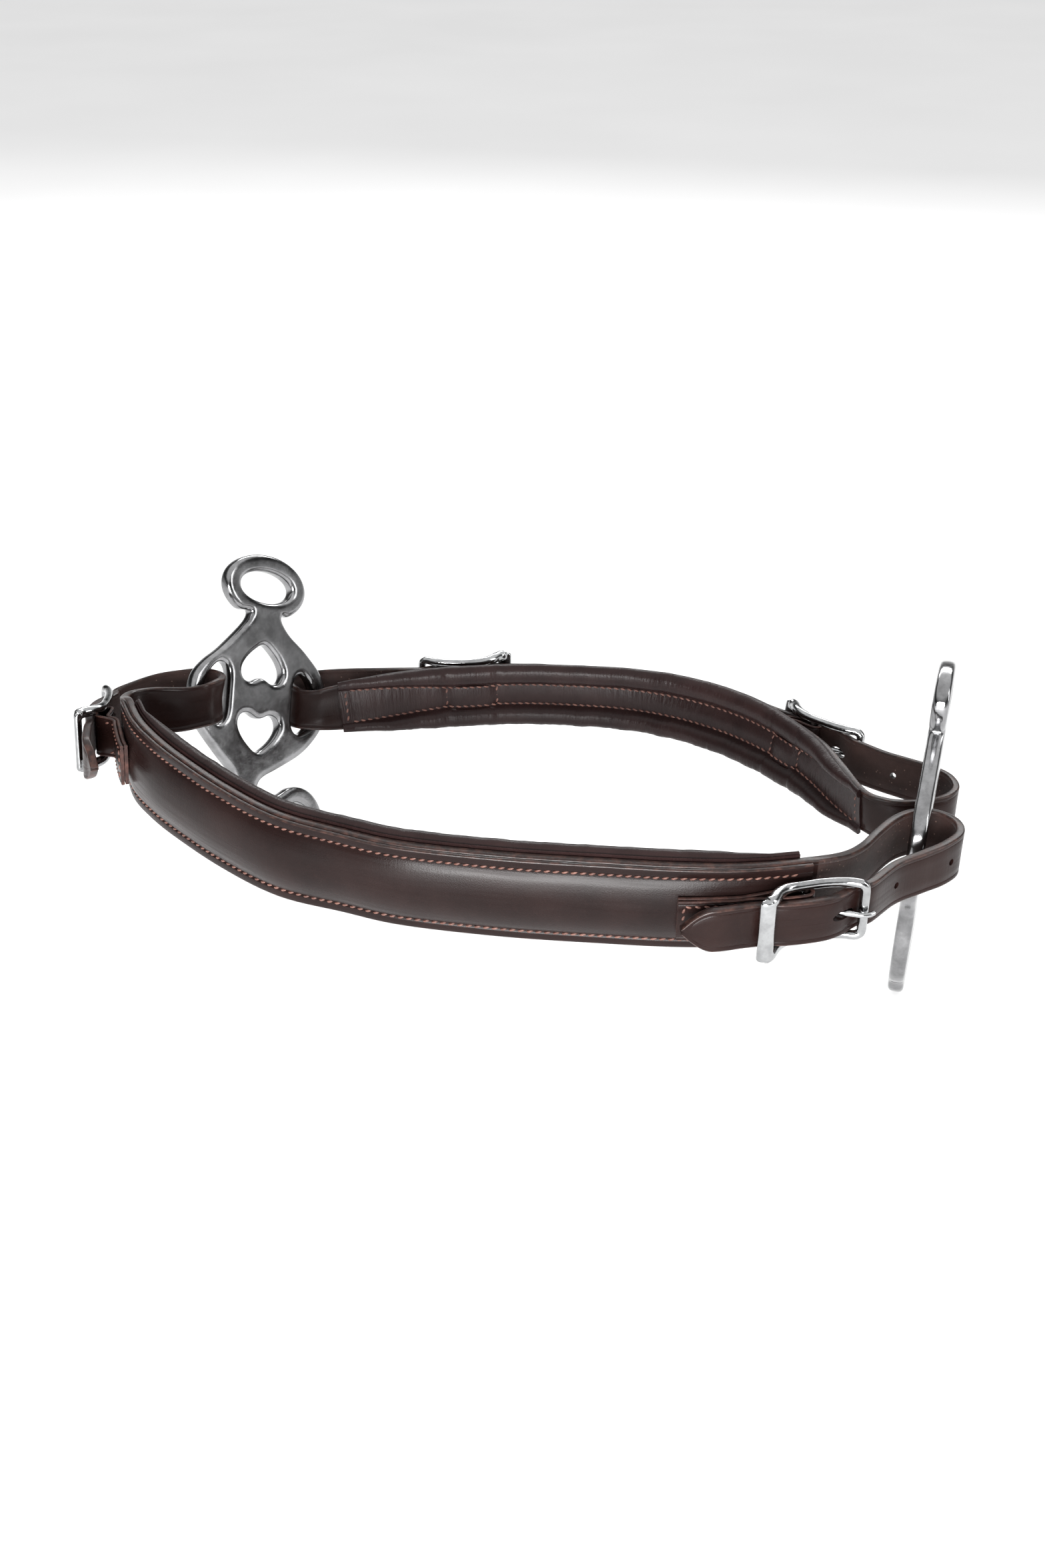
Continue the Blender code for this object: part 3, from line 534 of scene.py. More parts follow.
def finish(obj, body, replaces=(), angle=45):
    """Smooth shading with sharp edges over an angle; then the piece's body, and the imported nodes
    it replaces hidden.
    """
    obj.data.shade_smooth()
    obj.data.set_sharp_from_angle(angle=math.radians(angle))
    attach(obj, body)
    if replaces:
        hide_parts(*replaces)
    return obj


def outward_normals(mesh, weld=None):
    """Turns all faces outwards, after joining points that coincide if asked to."""
    bm = bmesh.new()
    bm.from_mesh(mesh)
    if weld is not None:
        bmesh.ops.remove_doubles(bm, verts=bm.verts, dist=weld)
    bmesh.ops.recalc_face_normals(bm, faces=bm.faces)
    bm.to_mesh(mesh)
    bm.free()


def mesh_of(bm, name):
    """A new mesh from bm, which is freed."""
    mesh = bpy.data.meshes.new(name)
    bm.to_mesh(mesh)
    bm.free()
    return mesh


def new_object(name, data, mats=()):
    """An object in the scene, with its materials in order."""
    obj = bpy.data.objects.new(name, data)
    bpy.context.scene.collection.objects.link(obj)
    for mat in mats:
        data.materials.append(mat)
    return obj


def loft(name, strap, section, mats, wobble=None):
    """A closed body through one section at each station; section(i) gives (w, n, material)."""
    points, slots = [], []
    for i in range(len(strap.mid)):
        ring = section(i)
        points.append([(w, n) for w, n, _ in ring])
        slots.append([m for _, _, m in ring])
    grid = np.array(points)
    count, around = grid.shape[:2]
    if wobble is not None:
        grid = wobble(grid, strap)
    verts = (strap.mid[:, None, :] + strap.w[:, None, :] * grid[:, :, :1]
             + strap.n[:, None, :] * grid[:, :, 1:])
    faces = []
    for start in range(0, (count - 1) * around, around):
        for k in range(around):
            j = (k + 1) % around
            faces.append((start + k, start + j, start + around + j, start + around + k))
    caps = [tuple(range(around)), tuple(reversed(range((count - 1) * around, count * around)))]
    mesh = bpy.data.meshes.new(name)
    mesh.from_pydata((verts.reshape(-1, 3) * MM).tolist(), [], faces + caps)
    edge = 1 if len(mats) > 1 else 0
    face_slots = [m for ring in slots[:-1] for m in ring] + [edge, edge]
    mesh.polygons.foreach_set("material_index", face_slots)
    sides = np.diff(np.concatenate([grid, grid[:, :1]], axis=1), axis=1)
    girth = np.linalg.norm(sides, axis=2).mean(axis=0)
    v = np.concatenate([[0], np.cumsum(girth)]) * MM
    layer = mesh.uv_layers.new(name="UVMap")
    uv = []
    for i in range(count - 1):
        a, b = strap.s[i] * MM, strap.s[i + 1] * MM
        for k in range(around):
            uv += [a, v[k], a, v[k + 1], b, v[k + 1], b, v[k]]
    uv += [0.0, 0.0] * (2 * around)
    layer.data.foreach_set("uv", uv)
    obj = new_object(name, mesh, mats)
    outward_normals(mesh)
    return obj


def rounded_band(half, thick, corner=0.75, crease=2.1, outer=0):
    """A strap's section: a crease line inside each edge of both faces, and rounded cut edges.

    The outer face has the given material, the cut edges the second and the other face the first.
    """
    edge, inner = 1, 0
    corner = min(corner, thick * 0.45, half * 0.4)
    creased = half > 5.0        # a strap's pointed end has no room for crease lines
    line = half - crease if creased else half * 0.36
    sunk = 0.22 if creased else 0.0
    lip = 0.25 * crease
    flat = [(-line - lip, 0), (-line, sunk), (-line + lip, 0), (-line * 0.5, 0), (0, 0),
            (line * 0.5, 0), (line - lip, 0), (line, sunk), (line + lip, 0)]
    upper = [(-half + corner, thick / 2, outer)] + [(w, thick / 2 - dip, outer) for w, dip in flat]
    turn = [(half - corner + corner * math.sin(a), thick / 2 - corner + corner * math.cos(a), edge)
            for a in (0, math.pi / 6, math.pi / 3, math.pi / 2)]
    under = [(-w, -n, inner) for w, n, _ in upper]
    last = [(w, -n, edge) for w, n, _ in reversed(turn[1:])]
    first = [(-w, -n, m) for w, n, m in turn]
    return upper + turn + last + under + first + [(-w, -n, m) for w, n, m in last]


def cut(obj, tools):
    """Takes closed tool bodies out of obj and keeps the result as its mesh."""
    bm = bmesh.new()
    for build, matrix in tools:
        piece = bmesh.new()
        build(piece)
        bmesh.ops.transform(piece, matrix=matrix, verts=piece.verts)
        scrap = mesh_of(piece, "tool")
        bm.from_mesh(scrap)
        bpy.data.meshes.remove(scrap)
    tool = new_object("tool", mesh_of(bm, "tool"))
    mod = obj.modifiers.new("cut", "BOOLEAN")
    mod.operation = "DIFFERENCE"
    mod.solver = "EXACT"
    mod.object = tool
    bake(obj)
    bpy.data.objects.remove(tool, do_unlink=True)


def evaluated(obj):
    """A new mesh of the object as its modifiers or its curve settings make it."""
    bpy.context.view_layer.update()
    graph = bpy.context.evaluated_depsgraph_get()
    return bpy.data.meshes.new_from_object(obj.evaluated_get(graph))


def bake(obj):
    """Keeps what the modifiers make."""
    mesh = evaluated(obj)
    obj.modifiers.clear()
    obj.data = mesh


def peg(radius_x, radius_z, length):
    """A round-ended cutter across a strap, its own y through the leather."""
    def build(bm):
        bmesh.ops.create_cone(bm, cap_ends=True, segments=24, radius1=1, radius2=1, depth=2)
        turn = Matrix.Rotation(math.pi / 2, 4, "X")
        size = Matrix.Diagonal((radius_x * MM, radius_z * MM, length / 2 * MM, 1))
        bmesh.ops.transform(bm, matrix=turn @ size, verts=bm.verts)
    return build


def unit_ball(rings=5, around=8):
    """A unit ball along z, as points and faces: the shape that each stitch is stretched from."""
    points = [(0.0, 0.0, -1.0)]
    for rise in np.radians(np.linspace(-60, 60, rings)):
        for k in range(around):
            turn = 2 * math.pi * k / around
            points.append((math.cos(rise) * math.cos(turn), math.cos(rise) * math.sin(turn),
                           math.sin(rise)))
    points.append((0.0, 0.0, 1.0))
    faces = [(0, 1 + (k + 1) % around, 1 + k) for k in range(around)]
    for start in range(1, 1 + (rings - 1) * around, around):
        for k in range(around):
            a, b = start + k, start + (k + 1) % around
            faces.append((a, b, b + around, a + around))
    last = 1 + (rings - 1) * around
    faces += [(last + k, last + (k + 1) % around, last + around) for k in range(around)]
    return np.array(points), faces


def stitches(name, rows, body, length=STITCH_LENGTH):
    """Slanted saddle stitches; rows hold (point, along, across, outward) for each stitch."""
    width, height, dip, slant = 1.0, 0.8, 0.35, math.radians(19.0)
    ball, faces = unit_ball()
    ends = ball[:, 2:3]
    verts, polys = [], []
    for p, t, w, n in rows:
        along = t * math.cos(slant) + w * math.sin(slant)
        across = np.cross(n, along)
        start = len(verts) * len(ball)
        verts.append(p + along * ends * length / 2 + across * ball[:, :1] * width / 2
                     + n * (ball[:, 1:2] * height / 2 - dip * ends ** 2))
        polys += [tuple(v + start for v in face) for face in faces]
    mesh = bpy.data.meshes.new(name)
    mesh.from_pydata((np.vstack(verts) * MM).tolist(), [], polys)
    obj = new_object(name, mesh, [THREAD])
    outward_normals(mesh)
    return finish(obj, body, angle=80)


def shares(low, high, pitch):
    """The middles of equal shares of a run, each about a pitch long."""
    count = max(2, int(round((high - low) / pitch)))
    return [low + (k + 0.5) * (high - low) / count for k in range(count)]


def row_along(strap, start, end, place, pitch=3.3):
    """Stitch places at an even pitch between two lengths along; place(s) gives (w, n)."""
    return [strap.at(s, *place(s)) for s in shares(start, end, pitch)]


def row_across(strap, s, low, high, level, pitch=3.4):
    """Stitch places across the strap at one length along."""
    places = [strap.at(s, w, level) for w in shares(low, high, pitch)]
    return [(p, w, -t, n) for p, t, w, n in places]


def ends_in(s, reach):
    """One along most of a strap, falling smoothly to zero over its last few millimetres."""
    near = np.clip(np.minimum(s - s[0], s[-1] - s) / reach, 0.0, 1.0)
    return np.sin(near * math.pi / 2)


def cut_points(strap):
    """Cuts both ends of the strap to blunt points."""
    tip, reach = 0.8, 12.0
    for run in (strap.s - strap.s[0], strap.s[-1] - strap.s):
        rounded = 1 - (1 - np.clip(run / reach, 0, 1)) ** 1.7
        strap.half = np.where(run < reach, tip + (BILLET_HALF - tip) * rounded, strap.half)


def billet_tools(strap, key, first, last):
    """Cutters for the tongue's hole and the spare punched holes of one billet."""
    place = buckle_matrix(key)
    oval = Matrix.Translation((HOLE_X * MM, 3.5 * MM, 0))
    tools = [(peg(HOLE_LENGTH / 2, HOLE_WIDTH / 2, 14.0), place @ oval)]
    here = place @ Vector((HOLE_X * MM, 4.0 * MM, 0)) / MM
    span = np.arange(first, last)
    near = span[np.argmin(np.linalg.norm(strap.mid[span] - np.array(here), axis=1))]
    to_end_bar = np.array(place.to_3x3() @ Vector((1, 0, 0)))
    way = 1.0 if np.dot(strap.t[near], to_end_bar) > 0 else -1.0
    for away in SPARE_HOLES_AT:
        p, t, _, n = strap.at(strap.s[near] + way * away, 0.0, 0.0)
        t, n = Vector(t), Vector(n)
        tools.append((peg(SPARE_HOLE, SPARE_HOLE, 8.0), axes_matrix(t, n, t.cross(n), p)))
    return tools


def leather_strap(name, thick, start, middle, stop):
    """A strap with a billet at each end: its path, its body's first and last stations, its object.

    start is (tip, buckle, loop) and stop is (loop, buckle, tip). A billet has its grain on the
    other face, because being folded back round its bar brings it outside again.
    """
    tip, first_key, loop = start
    head = moved(tip) + on_buckle(first_key, BILLET_RUN, BILLET_HALF) + moved(loop)
    loop, last_key, tip = stop
    tail = moved(loop) + on_buckle(last_key, BILLET_RUN, BILLET_HALF)[::-1] + moved(tip)
    strap = Strap(head + moved(middle) + tail)
    cut_points(strap)
    first = len(head) * FINE
    last = first + (len(middle) - 1) * FINE + 1

    def section(i):
        return rounded_band(strap.half[i], thick, outer=0 if first <= i < last else 2)
    obj = loft(name, strap, section, [GRAIN, EDGE, FLESH])
    cut(obj, billet_tools(strap, first_key, 0, first)
        + billet_tools(strap, last_key, last, len(strap.mid)))
    return strap, first, last, obj


# ---------------- noseband

nose, nose_first, nose_last, base = leather_strap(
    "noseband_base_strap", STRAP_THICK, (NOSE_LEFT_TIP, "left_nose", NOSE_LEFT_LOOP),
    NOSE_BODY, (NOSE_RIGHT_LOOP, "right_nose", NOSE_RIGHT_TIP))
finish(base, "noseband", ["noseband_strap"])

CROWN = 4.1                     # how far the panel's middle stands above its flanges
FACE_LOW = STRAP_THICK / 2 + 0.1
FACE_TOP = FACE_LOW + FACE_THICK + 0.15
FACE_INSET = 0.35               # from the strap's edge to the panel's
FLANGE = 3.9                    # from the panel's edge to its stitching
body = nose.part(nose_first, nose_last)
crown = ends_in(body.s, 62.0)


def face_section(i):
    """The raised panel: flat flanges, a groove for each row of stitches and a crown between."""
    half, top = body.half[i] - FACE_INSET, FACE_TOP
    rise = max(CROWN * crown[i], 0.5)
    row = half - FLANGE
    flange = [(half - 0.5, top), (row + 0.9, top + 0.05), (row + 0.55, top - 0.05),
              (row, top - 0.55), (row - 0.55, top - 0.05), (row - 1.2, top + 0.10 * rise)]
    crowned = [((row - 1.0) * f, top + rise * (1 - 0.90 * f * f))
               for f in (-0.88, -0.74, -0.58, -0.4, -0.2, 0.0, 0.2, 0.4, 0.58, 0.74, 0.88)]
    edge = [(half - 0.15, top - 0.15), (half, top - 0.5), (half, FACE_LOW + 0.4),
            (half - 0.4, FACE_LOW)]
    upper = [(-w, n) for w, n in flange] + crowned + flange[::-1]
    under = edge + [(0.0, FACE_LOW)] + [(-w, n) for w, n in reversed(edge)]
    return [(w, n, 0) for w, n in upper[:-1]] + [(w, n, 1) for w, n in upper[-1:] + under]


face = loft("noseband_padded_face", body, face_section, [PANEL, EDGE])
finish(face, "noseband", ["noseband_face", "noseband_filler"])

rows = []
for side in (-1, 1):
    def panel_stitch(s, side=side):
        return side * (body.half_at(s) - FACE_INSET - FLANGE), FACE_TOP - 0.12
    rows += row_along(body, body.s[0] + 4, body.s[-1] - 5, panel_stitch)
stitches("noseband_face_stitching", rows, "noseband")


# The linings' sections: w as a share of the half width, n in mm
LINING_TOP = 1.9                # the lining's side next to the strap lies this far below its middle
ROLL = [(-0.90, -1.9), (-0.99, -2.3), (-1.05, -3.4), (-1.08, -5.2), (-1.055, -7.1),
        (-0.97, -8.7), (-0.83, -9.5), (-0.64, -9.0), (-0.42, -8.2)]
lining_outline = closed_smooth(ROLL + [(0.0, -8.0)] + [(-w, n) for w, n in reversed(ROLL)])
inner = body.part(FINE // CAD_FINE, len(body.mid) - 1).finer(1.5)
inner_fade = ends_in(inner.s, 42.0)


def lining_section(i):
    """Two soft rolls past the strap's edges with a shallow hollow between, thinner at the ends."""
    deep = max(inner_fade[i], 0.42)
    return [(inner.half[i] * w, -LINING_TOP + (n + LINING_TOP) * deep, 0)
            for w, n in lining_outline]


def gathered(amount, pitch, seed):
    """Small swells along a padded roll, so that it isn't ruled: long ones, then short ones."""
    def wobble(grid, strap):
        rng = np.random.default_rng(seed)
        s = strap.s - strap.s[0]
        swell = np.zeros(len(s))
        for waves, scale, lengths, heights in ((14, pitch, (0.6, 3.2), (0.2, 1.0)),
                                               (8, 1.0, (3.2, 6.0), (0.1, 0.35))):
            for _ in range(waves):
                wave = scale * rng.uniform(*lengths)
                height = rng.uniform(*heights)
                swell += height * np.sin(2 * math.pi * s / wave + rng.uniform(0, 6.3))
        swell = swell / 4.0 * amount
        deep = np.clip(-(grid[:, :, 1] + 2.6) / 3.0, 0, 1)
        out = unit(grid - np.array([0.0, -2.0]))
        return grid + out * (swell[:, None] * deep)[:, :, None]
    return wobble


lining = loft("noseband_rolled_lining", inner, lining_section, [LINING_SKIN],
              gathered(0.16, 9.0, 3))
finish(lining, "noseband", ["noseband_lining", "noseband_padding"], 70)


# ---------------- chin strap

chin, chin_first, chin_last, chin_base = leather_strap(
    "chin_base_strap", CHIN_THICK, (CHIN_RIGHT_TIP, "right_chin", CHIN_RIGHT_LOOP),
    CHIN_BODY, (CHIN_LEFT_LOOP, "left_chin", CHIN_LEFT_TIP))
finish(chin_base, "chin", ["chin_strap"])

CHIN_LINING = [(-0.90, -1.7), (-1.04, -2.4), (-1.095, -4.1), (-1.07, -6.2), (-0.92, -7.7),
               (-0.72, -7.8), (-0.55, -6.8), (-0.44, -4.8), (-0.38, -3.2), (-0.30, -3.3),
               (0.0, -3.8), (0.30, -3.3), (0.38, -3.2), (0.44, -4.8), (0.56, -7.0),
               (0.76, -8.0), (0.98, -7.6), (1.13, -6.0), (1.165, -4.0), (1.10, -2.4),
               (0.92, -1.7)]
CHIN_LINING_TOP = 1.7
THIN_END = 0.36                 # the lining's depth at its ends, as a share of its full depth
ROW, END_ROW = 0.36, 0.72       # the stitch rows, as a share of the half width
LINING_EDGE = 1.1
PAD_RISE, SEAM_DIP = 1.3, 0.5
chin_outline = closed_smooth(CHIN_LINING)
chin_body = chin.part(chin_first, chin_last).finer(1.2)
chin_fade = ends_in(chin_body.s, 26.0)
chin_start, chin_end = chin_body.s[0], chin_body.s[-1]
# Cross seams in pairs near each end, with a raised pad between the two of a pair
SEAM_PAIRS = [(chin_start + 48.0, chin_start + 66.0), (chin_end - 75.0, chin_end - 51.0)]


def seam_shape(s):
    """How far s is into a seam, 0 to 1, and how far the channel stands up there."""
    raised = max(math.exp(-(((s - (low + high) / 2) / ((high - low) * 0.42)) ** 4))
                 for low, high in SEAM_PAIRS)
    sewn = max(math.exp(-((s - seam) / 1.5) ** 2) for pair in SEAM_PAIRS for seam in pair)
    return sewn, PAD_RISE * raised * (1 - sewn) - SEAM_DIP * sewn


def channel_depth(s):
    """The stitched channel's depth below the strap's middle."""
    deep = max(float(np.interp(s, chin_body.s, chin_fade)), THIN_END)
    return CHIN_LINING_TOP + 1.5 * deep + seam_shape(s)[1]


def row_share(s):
    """The two rows run out towards the edges beyond the outer seams."""
    ends = [chin_start, SEAM_PAIRS[0][0], SEAM_PAIRS[1][1], chin_end]
    return float(np.interp(s, ends, [END_ROW, ROW, ROW, END_ROW]))


def chin_section(i):
    """Two rolls with the stitched channel between them, pinched a little at each cross seam."""
    s = chin_body.s[i]
    sewn, stands_up = seam_shape(s)
    deep = max(chin_fade[i], THIN_END) * (1 - 0.10 * sewn)
    row = row_share(s)
    ring = []
    for w, n in chin_outline:
        share = abs(w) * row / ROW
        if abs(w) >= ROW:
            share = row + (abs(w) - ROW) * (LINING_EDGE - row) / (LINING_EDGE - ROW)
        level = -CHIN_LINING_TOP + (n + CHIN_LINING_TOP) * deep
        if abs(w) < ROW + 0.06:
            level -= stands_up
        ring.append((chin_body.half[i] * math.copysign(share, w), level, 0))
    return ring


chin_lining = loft("chin_padded_lining", chin_body, chin_section, [LINING_SKIN],
                   gathered(0.30, 8.0, 5))
finish(chin_lining, "chin", ["chin_lining", "chin_upper_padding", "chin_lower_padding"],
       70)

rows = []
inward = chin_body.facing(-1)
for side in (-1, 1):
    def chin_stitch(s, side=side):
        return side * inward.half_at(s) * row_share(s), channel_depth(s) + 0.05
    rows += row_along(inward, chin_start + 5, chin_end - 5, chin_stitch)
for s in (chin_start + 3.0, chin_end - 3.0):
    reach = inward.half_at(s) * 0.66
    rows += row_across(inward, s, -reach, reach, CHIN_LINING_TOP * (1 + THIN_END))
for s in (*SEAM_PAIRS[0], *SEAM_PAIRS[1]):
    reach = inward.half_at(s) * 0.32
    rows += row_across(inward, s, -reach, reach, channel_depth(s) + 0.15, 3.0)
stitches("chin_lining_stitching", rows, "chin")


# ---------------- chapes

def chape_knots(key, strap, levels):
    """Down the face of the strap, round the mid bar and back on top of the first layer."""
    lower, upper = [], []
    for i, level in levels:
        lean = strap.w[i] / strap.w[i][2]
        for layer, height in ((lower, level), (upper, level + CHAPE_THICK + GAP)):
            p = strap.mid[i] + strap.n[i] * height
            layer.append((*p, lean[0], lean[1], CHAPE_HALF))
    return lower + on_buckle(key, CHAPE_FOLD, CHAPE_HALF) + upper[::-1]


def build_chape(key, strap, levels, body_name):
    """A buckle's chape with its slot for the tongue, and the stitching that holds it down."""
    chape = Strap(chape_knots(key, strap, levels), 5)
    obj = loft(key + "_stitched_chape", chape,
               lambda i: rounded_band(chape.half[i], CHAPE_THICK, corner=0.4, crease=1.4),
               [GRAIN, RAW])
    length, depth, width = CHAPE_SLOT
    slot = buckle_matrix(key) @ Matrix.Translation((1.0 * MM, 0, 0))
    cut(obj, [(peg(length / 2, width / 2, depth), slot)])
    finish(obj, body_name, [key + "_buckle_chape"])
    top = chape.facing(-1 if np.dot(chape.n[-1], strap.n[levels[0][0]]) < 0 else 1)
    end = top.s[-1]
    start = end - (30.0 if len(levels) > 4 else 26.0)
    edge, level, hem = CHAPE_HALF - 2.4, CHAPE_THICK / 2 + 0.05, 2.2
    rows = []
    for side in (-1, 1):
        rows += row_along(top, start, end - hem,
                          lambda s, side=side: (side * (CHAPE_HALF - 2.3), level), 3.4)
    rows += row_across(top, end - hem, -edge, edge, level, 3.2)
    stitches(key + "_chape_stitching", rows, body_name, length=2.7)


def coarse(index):
    """The station here that the CAD model's station of a strap body falls on."""
    return int(round(index * FINE / CAD_FINE))


def on_face(index):
    """Where a chape's first layer lies on the panel: a station and its level."""
    i = min(nose_first + coarse(index), nose_last - 1)
    from_end = min(min(index, nose_count - 1 - index) / 9.0, 1.0)
    rise = max(CAD_CROWN * math.sin(from_end * math.pi / 2), 0.5)
    return i, FACE_LEVEL + rise + (FACE_THICK + CHAPE_THICK) / 2 + 2 * GAP


CAD_CROWN = 3.2
FACE_LEVEL = STRAP_THICK / 2 + GAP + FACE_THICK / 2
nose_count = (len(NOSE_BODY) - 1) * CAD_FINE + 1
chin_count = (len(CHIN_BODY) - 1) * CAD_FINE + 1
chin_level = CHIN_THICK / 2 + CHAPE_THICK / 2 + GAP
build_chape("left_nose", nose, [on_face(k) for k in range(4, -1, -1)], "noseband")
build_chape("right_nose", nose, [on_face(k) for k in range(nose_count - 7, nose_count - 3)],
            "noseband")
build_chape("right_chin", chin, [(chin_first + coarse(k), chin_level) for k in range(12, 8, -1)],
            "chin")
build_chape("left_chin", chin, [(chin_first + coarse(k), chin_level)
                                for k in range(chin_count - 12, chin_count - 7)], "chin")


# ---------------- metal

def curve_mesh(lines, flat, bevel, resolution, **settings):
    """The mesh of a bevelled curve: a filled flat outline, or wires of (x, y, z, radius)."""
    curve = bpy.data.curves.new("curve", "CURVE")
    curve.dimensions = "2D" if flat else "3D"
    for points in lines:
        spline = curve.splines.new("POLY")
        spline.points.add(len(points) - 1)
        for item, (x, y, z, radius) in zip(spline.points, points):
            item.co = (x * MM, y * MM, z * MM, 1.0)
            item.radius = radius
        spline.use_cyclic_u = flat
    curve.bevel_depth = bevel * MM
    curve.bevel_resolution = resolution
    for key, value in settings.items():
        setattr(curve, key, value)
    obj = new_object("curve", curve)
    mesh = evaluated(obj)
    bpy.data.objects.remove(obj, do_unlink=True)
    bpy.data.curves.remove(curve)
    outward_normals(mesh, weld=1e-6)
    mesh.materials.clear()
    return mesh


def fused(name, mesh, voxel, rounds):
    """One smooth skin over everything in the mesh, as a casting has."""
    obj = new_object(name, mesh)
    remesh = obj.modifiers.new("fuse", "REMESH")
    remesh.mode = "VOXEL"
    remesh.voxel_size = voxel * MM
    soften = obj.modifiers.new("soften", "SMOOTH")
    soften.iterations = rounds
    soften.factor = 0.5
    bake(obj)
    mesh = obj.data
    mesh.name = name
    bpy.data.objects.remove(obj, do_unlink=True)
    return mesh


def plate_mesh():
    """The plate's outline filled, bevelled and rounded over like a casting."""
    outlines = []
    for points, share in zip(plate_outlines(), DRAWN_IN):
        middle = points.mean(axis=0)
        drawn = ((points - middle) * share + middle) * (PLATE_LENGTH / DRAWN_LENGTH)
        outlines.append([(u, w, 0.0, 1.0) for u, w in drawn.tolist()])
    mesh = curve_mesh(outlines, True, PLATE_ROUND, 3, fill_mode="BOTH", offset=-PLATE_ROUND * MM,
                      extrude=(PLATE_THICK / 2 - PLATE_ROUND) * MM)
    return fused("cast_cheek_plate", mesh, voxel=0.6, rounds=16)


plate = plate_mesh()
for side, pose in PLATES.items():
    obj = new_object(side + "_cast_cheek_plate", plate.copy(), [CAST])
    obj.data.transform(plate_matrix(*pose))
    finish(obj, side + "_cheek", [side + "_cheek_plate"], 60)


def keeper_body(bm):
    """The wide bar the billet's tip slides under: domed outside, flatter inside, rounded ends."""
    rings = []
    for z, size in KEEPER_PROFILE:
        ring = []
        for a in np.radians(np.arange(0, 360, 18)):
            n = (KEEPER_DOME if math.sin(a) > 0 else KEEPER_UNDER) * math.sin(a)
            x = KEEPER_X + KEEPER_HALF * size * math.cos(a)
            ring.append(bm.verts.new((x * MM, (KEEPER_N + n * size) * MM, z * MM)))
        rings.append(ring)
    for one, two in zip(rings, rings[1:]):
        for k in range(len(one)):
            j = (k + 1) % len(one)
            bm.faces.new((one[k], one[j], two[j], two[k]))
    bm.faces.new(rings[0])
    bm.faces.new(reversed(rings[-1]))
    bmesh.ops.recalc_face_normals(bm, faces=bm.faces)


def frame_mesh():
    """Side rails and end bar as one bent wire, fused to the keeper bar and the mid bar."""
    near = [(x, n, RAIL_W) for x, n in RAIL]
    near += [(END_BAR_X - 0.9, END_BAR_N - 0.3, RAIL_W - 0.7),
             (END_BAR_X, END_BAR_N, RAIL_W - 2.6)]
    far = [(x, n, -z) for x, n, z in reversed(near)]
    wire = []
    for x, n, z in smooth(near + [(END_BAR_X, END_BAR_N, 0.0)] + far, 5).tolist():
        stouter = 0.26 * min(1.0, max(0.0, (-2.0 - x) / 11.0))
        wire.append((x, n, z + math.copysign(stouter * WIRE * 1.15, z), 1.0 + stouter))
    bm = bmesh.new()
    bm.from_mesh(curve_mesh([wire], False, WIRE, 4, use_fill_caps=True))
    keeper_body(bm)
    bmesh.ops.create_cone(bm, cap_ends=True, segments=20, radius1=MID_BAR * MM,
                          radius2=MID_BAR * MM, depth=2 * RAIL_W * MM)
    return fused("polished_buckle_frame", mesh_of(bm, "buckle_frame"), voxel=0.42, rounds=5)


def tongue_mesh():
    """A ring round the mid bar, then the prong out over the end bar, thinning to its tip."""
    ring = MID_BAR + GAP + TONGUE_WIRE
    loop = [(ring * math.cos(a), ring * math.sin(a)) for a in np.radians(range(40, 331, 29))]
    wire = [(x, n, 0.0, 1.0 - 0.25 * max(0.0, (x - 16.0) / 9.0))
            for x, n in smooth(loop + PRONG, 4).tolist()]
    return curve_mesh([wire], False, TONGUE_WIRE, 3, use_fill_caps=True)


buckle, tongue = frame_mesh(), tongue_mesh()
for key in BUCKLES:
    for part, mesh, mover in (("frame", buckle, "_buckle"), ("tongue", tongue, "_tongue")):
        obj = new_object(key + "_polished_" + part, mesh.copy(), [BRIGHT])
        obj.data.transform(buckle_matrix(key))
        finish(obj, key + mover, [key + "_buckle_" + part], 60)


# ---------------- studio

LAMPS = {                       # name: place, size, watts
    "key": ((-0.25, -1.40, 0.36), (0.9, 0.50), 50.0),
    "back_strip": ((0.25, 1.15, 0.85), (1.5, 0.3), 12.0),
    "right_fill": ((1.2, -0.35, 0.60), (0.3, 0.8), 4.5),
}
AIM = Vector((0, 0, 0.1))
# The world's grey level by height, from straight below (0) to overhead (1)
SKY = ((0.0, 0.50), (0.10, 0.45), (0.22, 0.03), (0.45, 0.06), (0.68, 1.0), (1.0, 1.0))
SKY_STRENGTH = 1.15
CAMERA_REACH, CAMERA_TILT = 0.7579, math.radians(30)
LENS, SENSOR = 63.4, 36.0


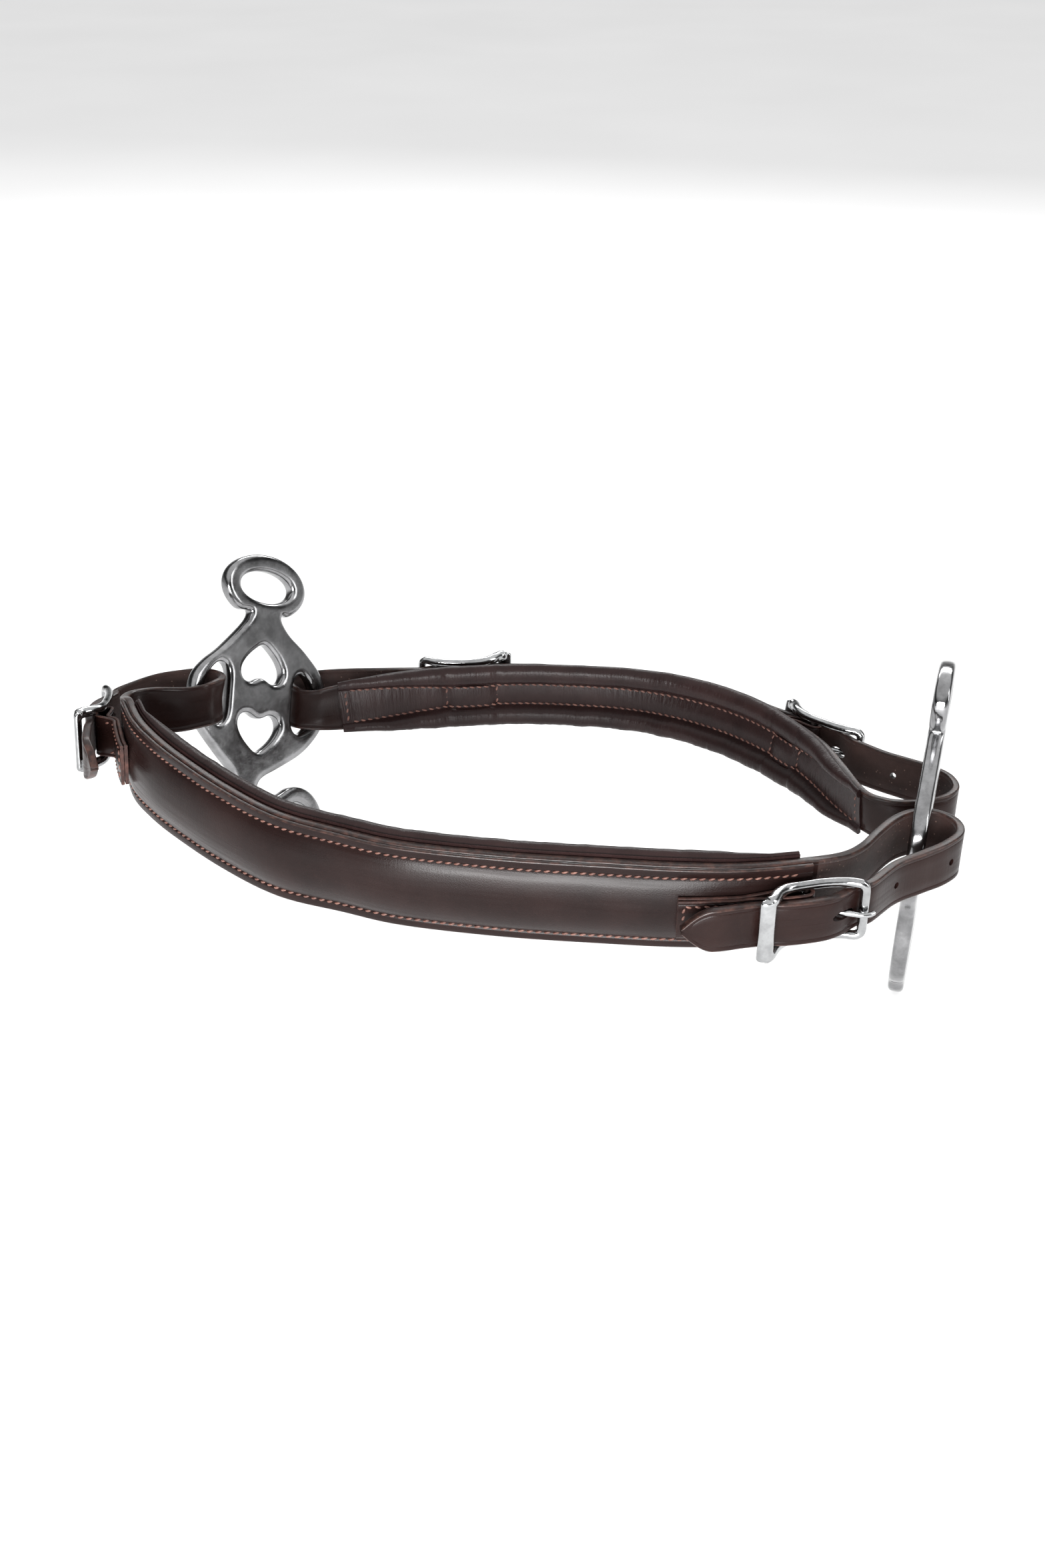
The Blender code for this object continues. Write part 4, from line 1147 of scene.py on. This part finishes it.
def lamp(name, at, size, power):
    """A rectangular lamp turned to the object's middle."""
    data = bpy.data.lights.new(name, "AREA")
    data.shape = "RECTANGLE"
    data.size, data.size_y = size
    data.energy = power
    obj = new_object(name, data)
    obj.location = at
    obj.rotation_euler = (AIM - Vector(at)).to_track_quat("-Z", "Y").to_euler()


def studio():
    """A white floor, a world that is bright overhead and dark at eye level, and three lamps."""
    m = Nodes("pale_floor")
    soft = m.noise(m.place, 3.0, 2.0)
    m.set(Base_Color=m.ramp(soft, [(0.3, (0.90,)), (0.7, (0.93,))]), Roughness=0.9)
    bm = bmesh.new()
    bmesh.ops.create_grid(bm, x_segments=2, y_segments=2, size=6.0)
    floor = new_object("studio_floor", mesh_of(bm, "floor"), [m.mat])
    floor.location = (0, 0, -0.002)
    world = bpy.data.worlds.new("studio")
    world.use_nodes = True
    tree = world.node_tree
    back = tree.nodes["Background"]
    place = tree.nodes.new("ShaderNodeTexCoord")
    split = tree.nodes.new("ShaderNodeSeparateXYZ")
    ramp = tree.nodes.new("ShaderNodeValToRGB")
    tree.links.new(place.outputs["Generated"], split.inputs[0])
    tree.links.new(split.outputs["Z"], ramp.inputs["Fac"])
    set_stops(ramp.color_ramp, [(height, (level,)) for height, level in SKY])
    tree.links.new(ramp.outputs["Color"], back.inputs["Color"])
    back.inputs["Strength"].default_value = SKY_STRENGTH
    bpy.context.scene.world = world
    bpy.context.scene.view_settings.view_transform = "Standard"
    for name, settings in LAMPS.items():
        lamp(name, *settings)


def main_camera():
    """Looks down at the object from the front."""
    data = bpy.data.cameras.new("camera")
    data.sensor_fit = "HORIZONTAL"
    data.sensor_width = SENSOR
    data.lens = LENS
    data.clip_start = 0.01
    obj = new_object("camera", data)
    back, up = CAMERA_REACH * math.cos(CAMERA_TILT), CAMERA_REACH * math.sin(CAMERA_TILT)
    obj.location = Vector((0, -back, up)) + Vector(STAND) * MM
    obj.rotation_euler = (math.pi / 2 - CAMERA_TILT, 0, 0)
    bpy.context.scene.camera = obj


studio()
main_camera()
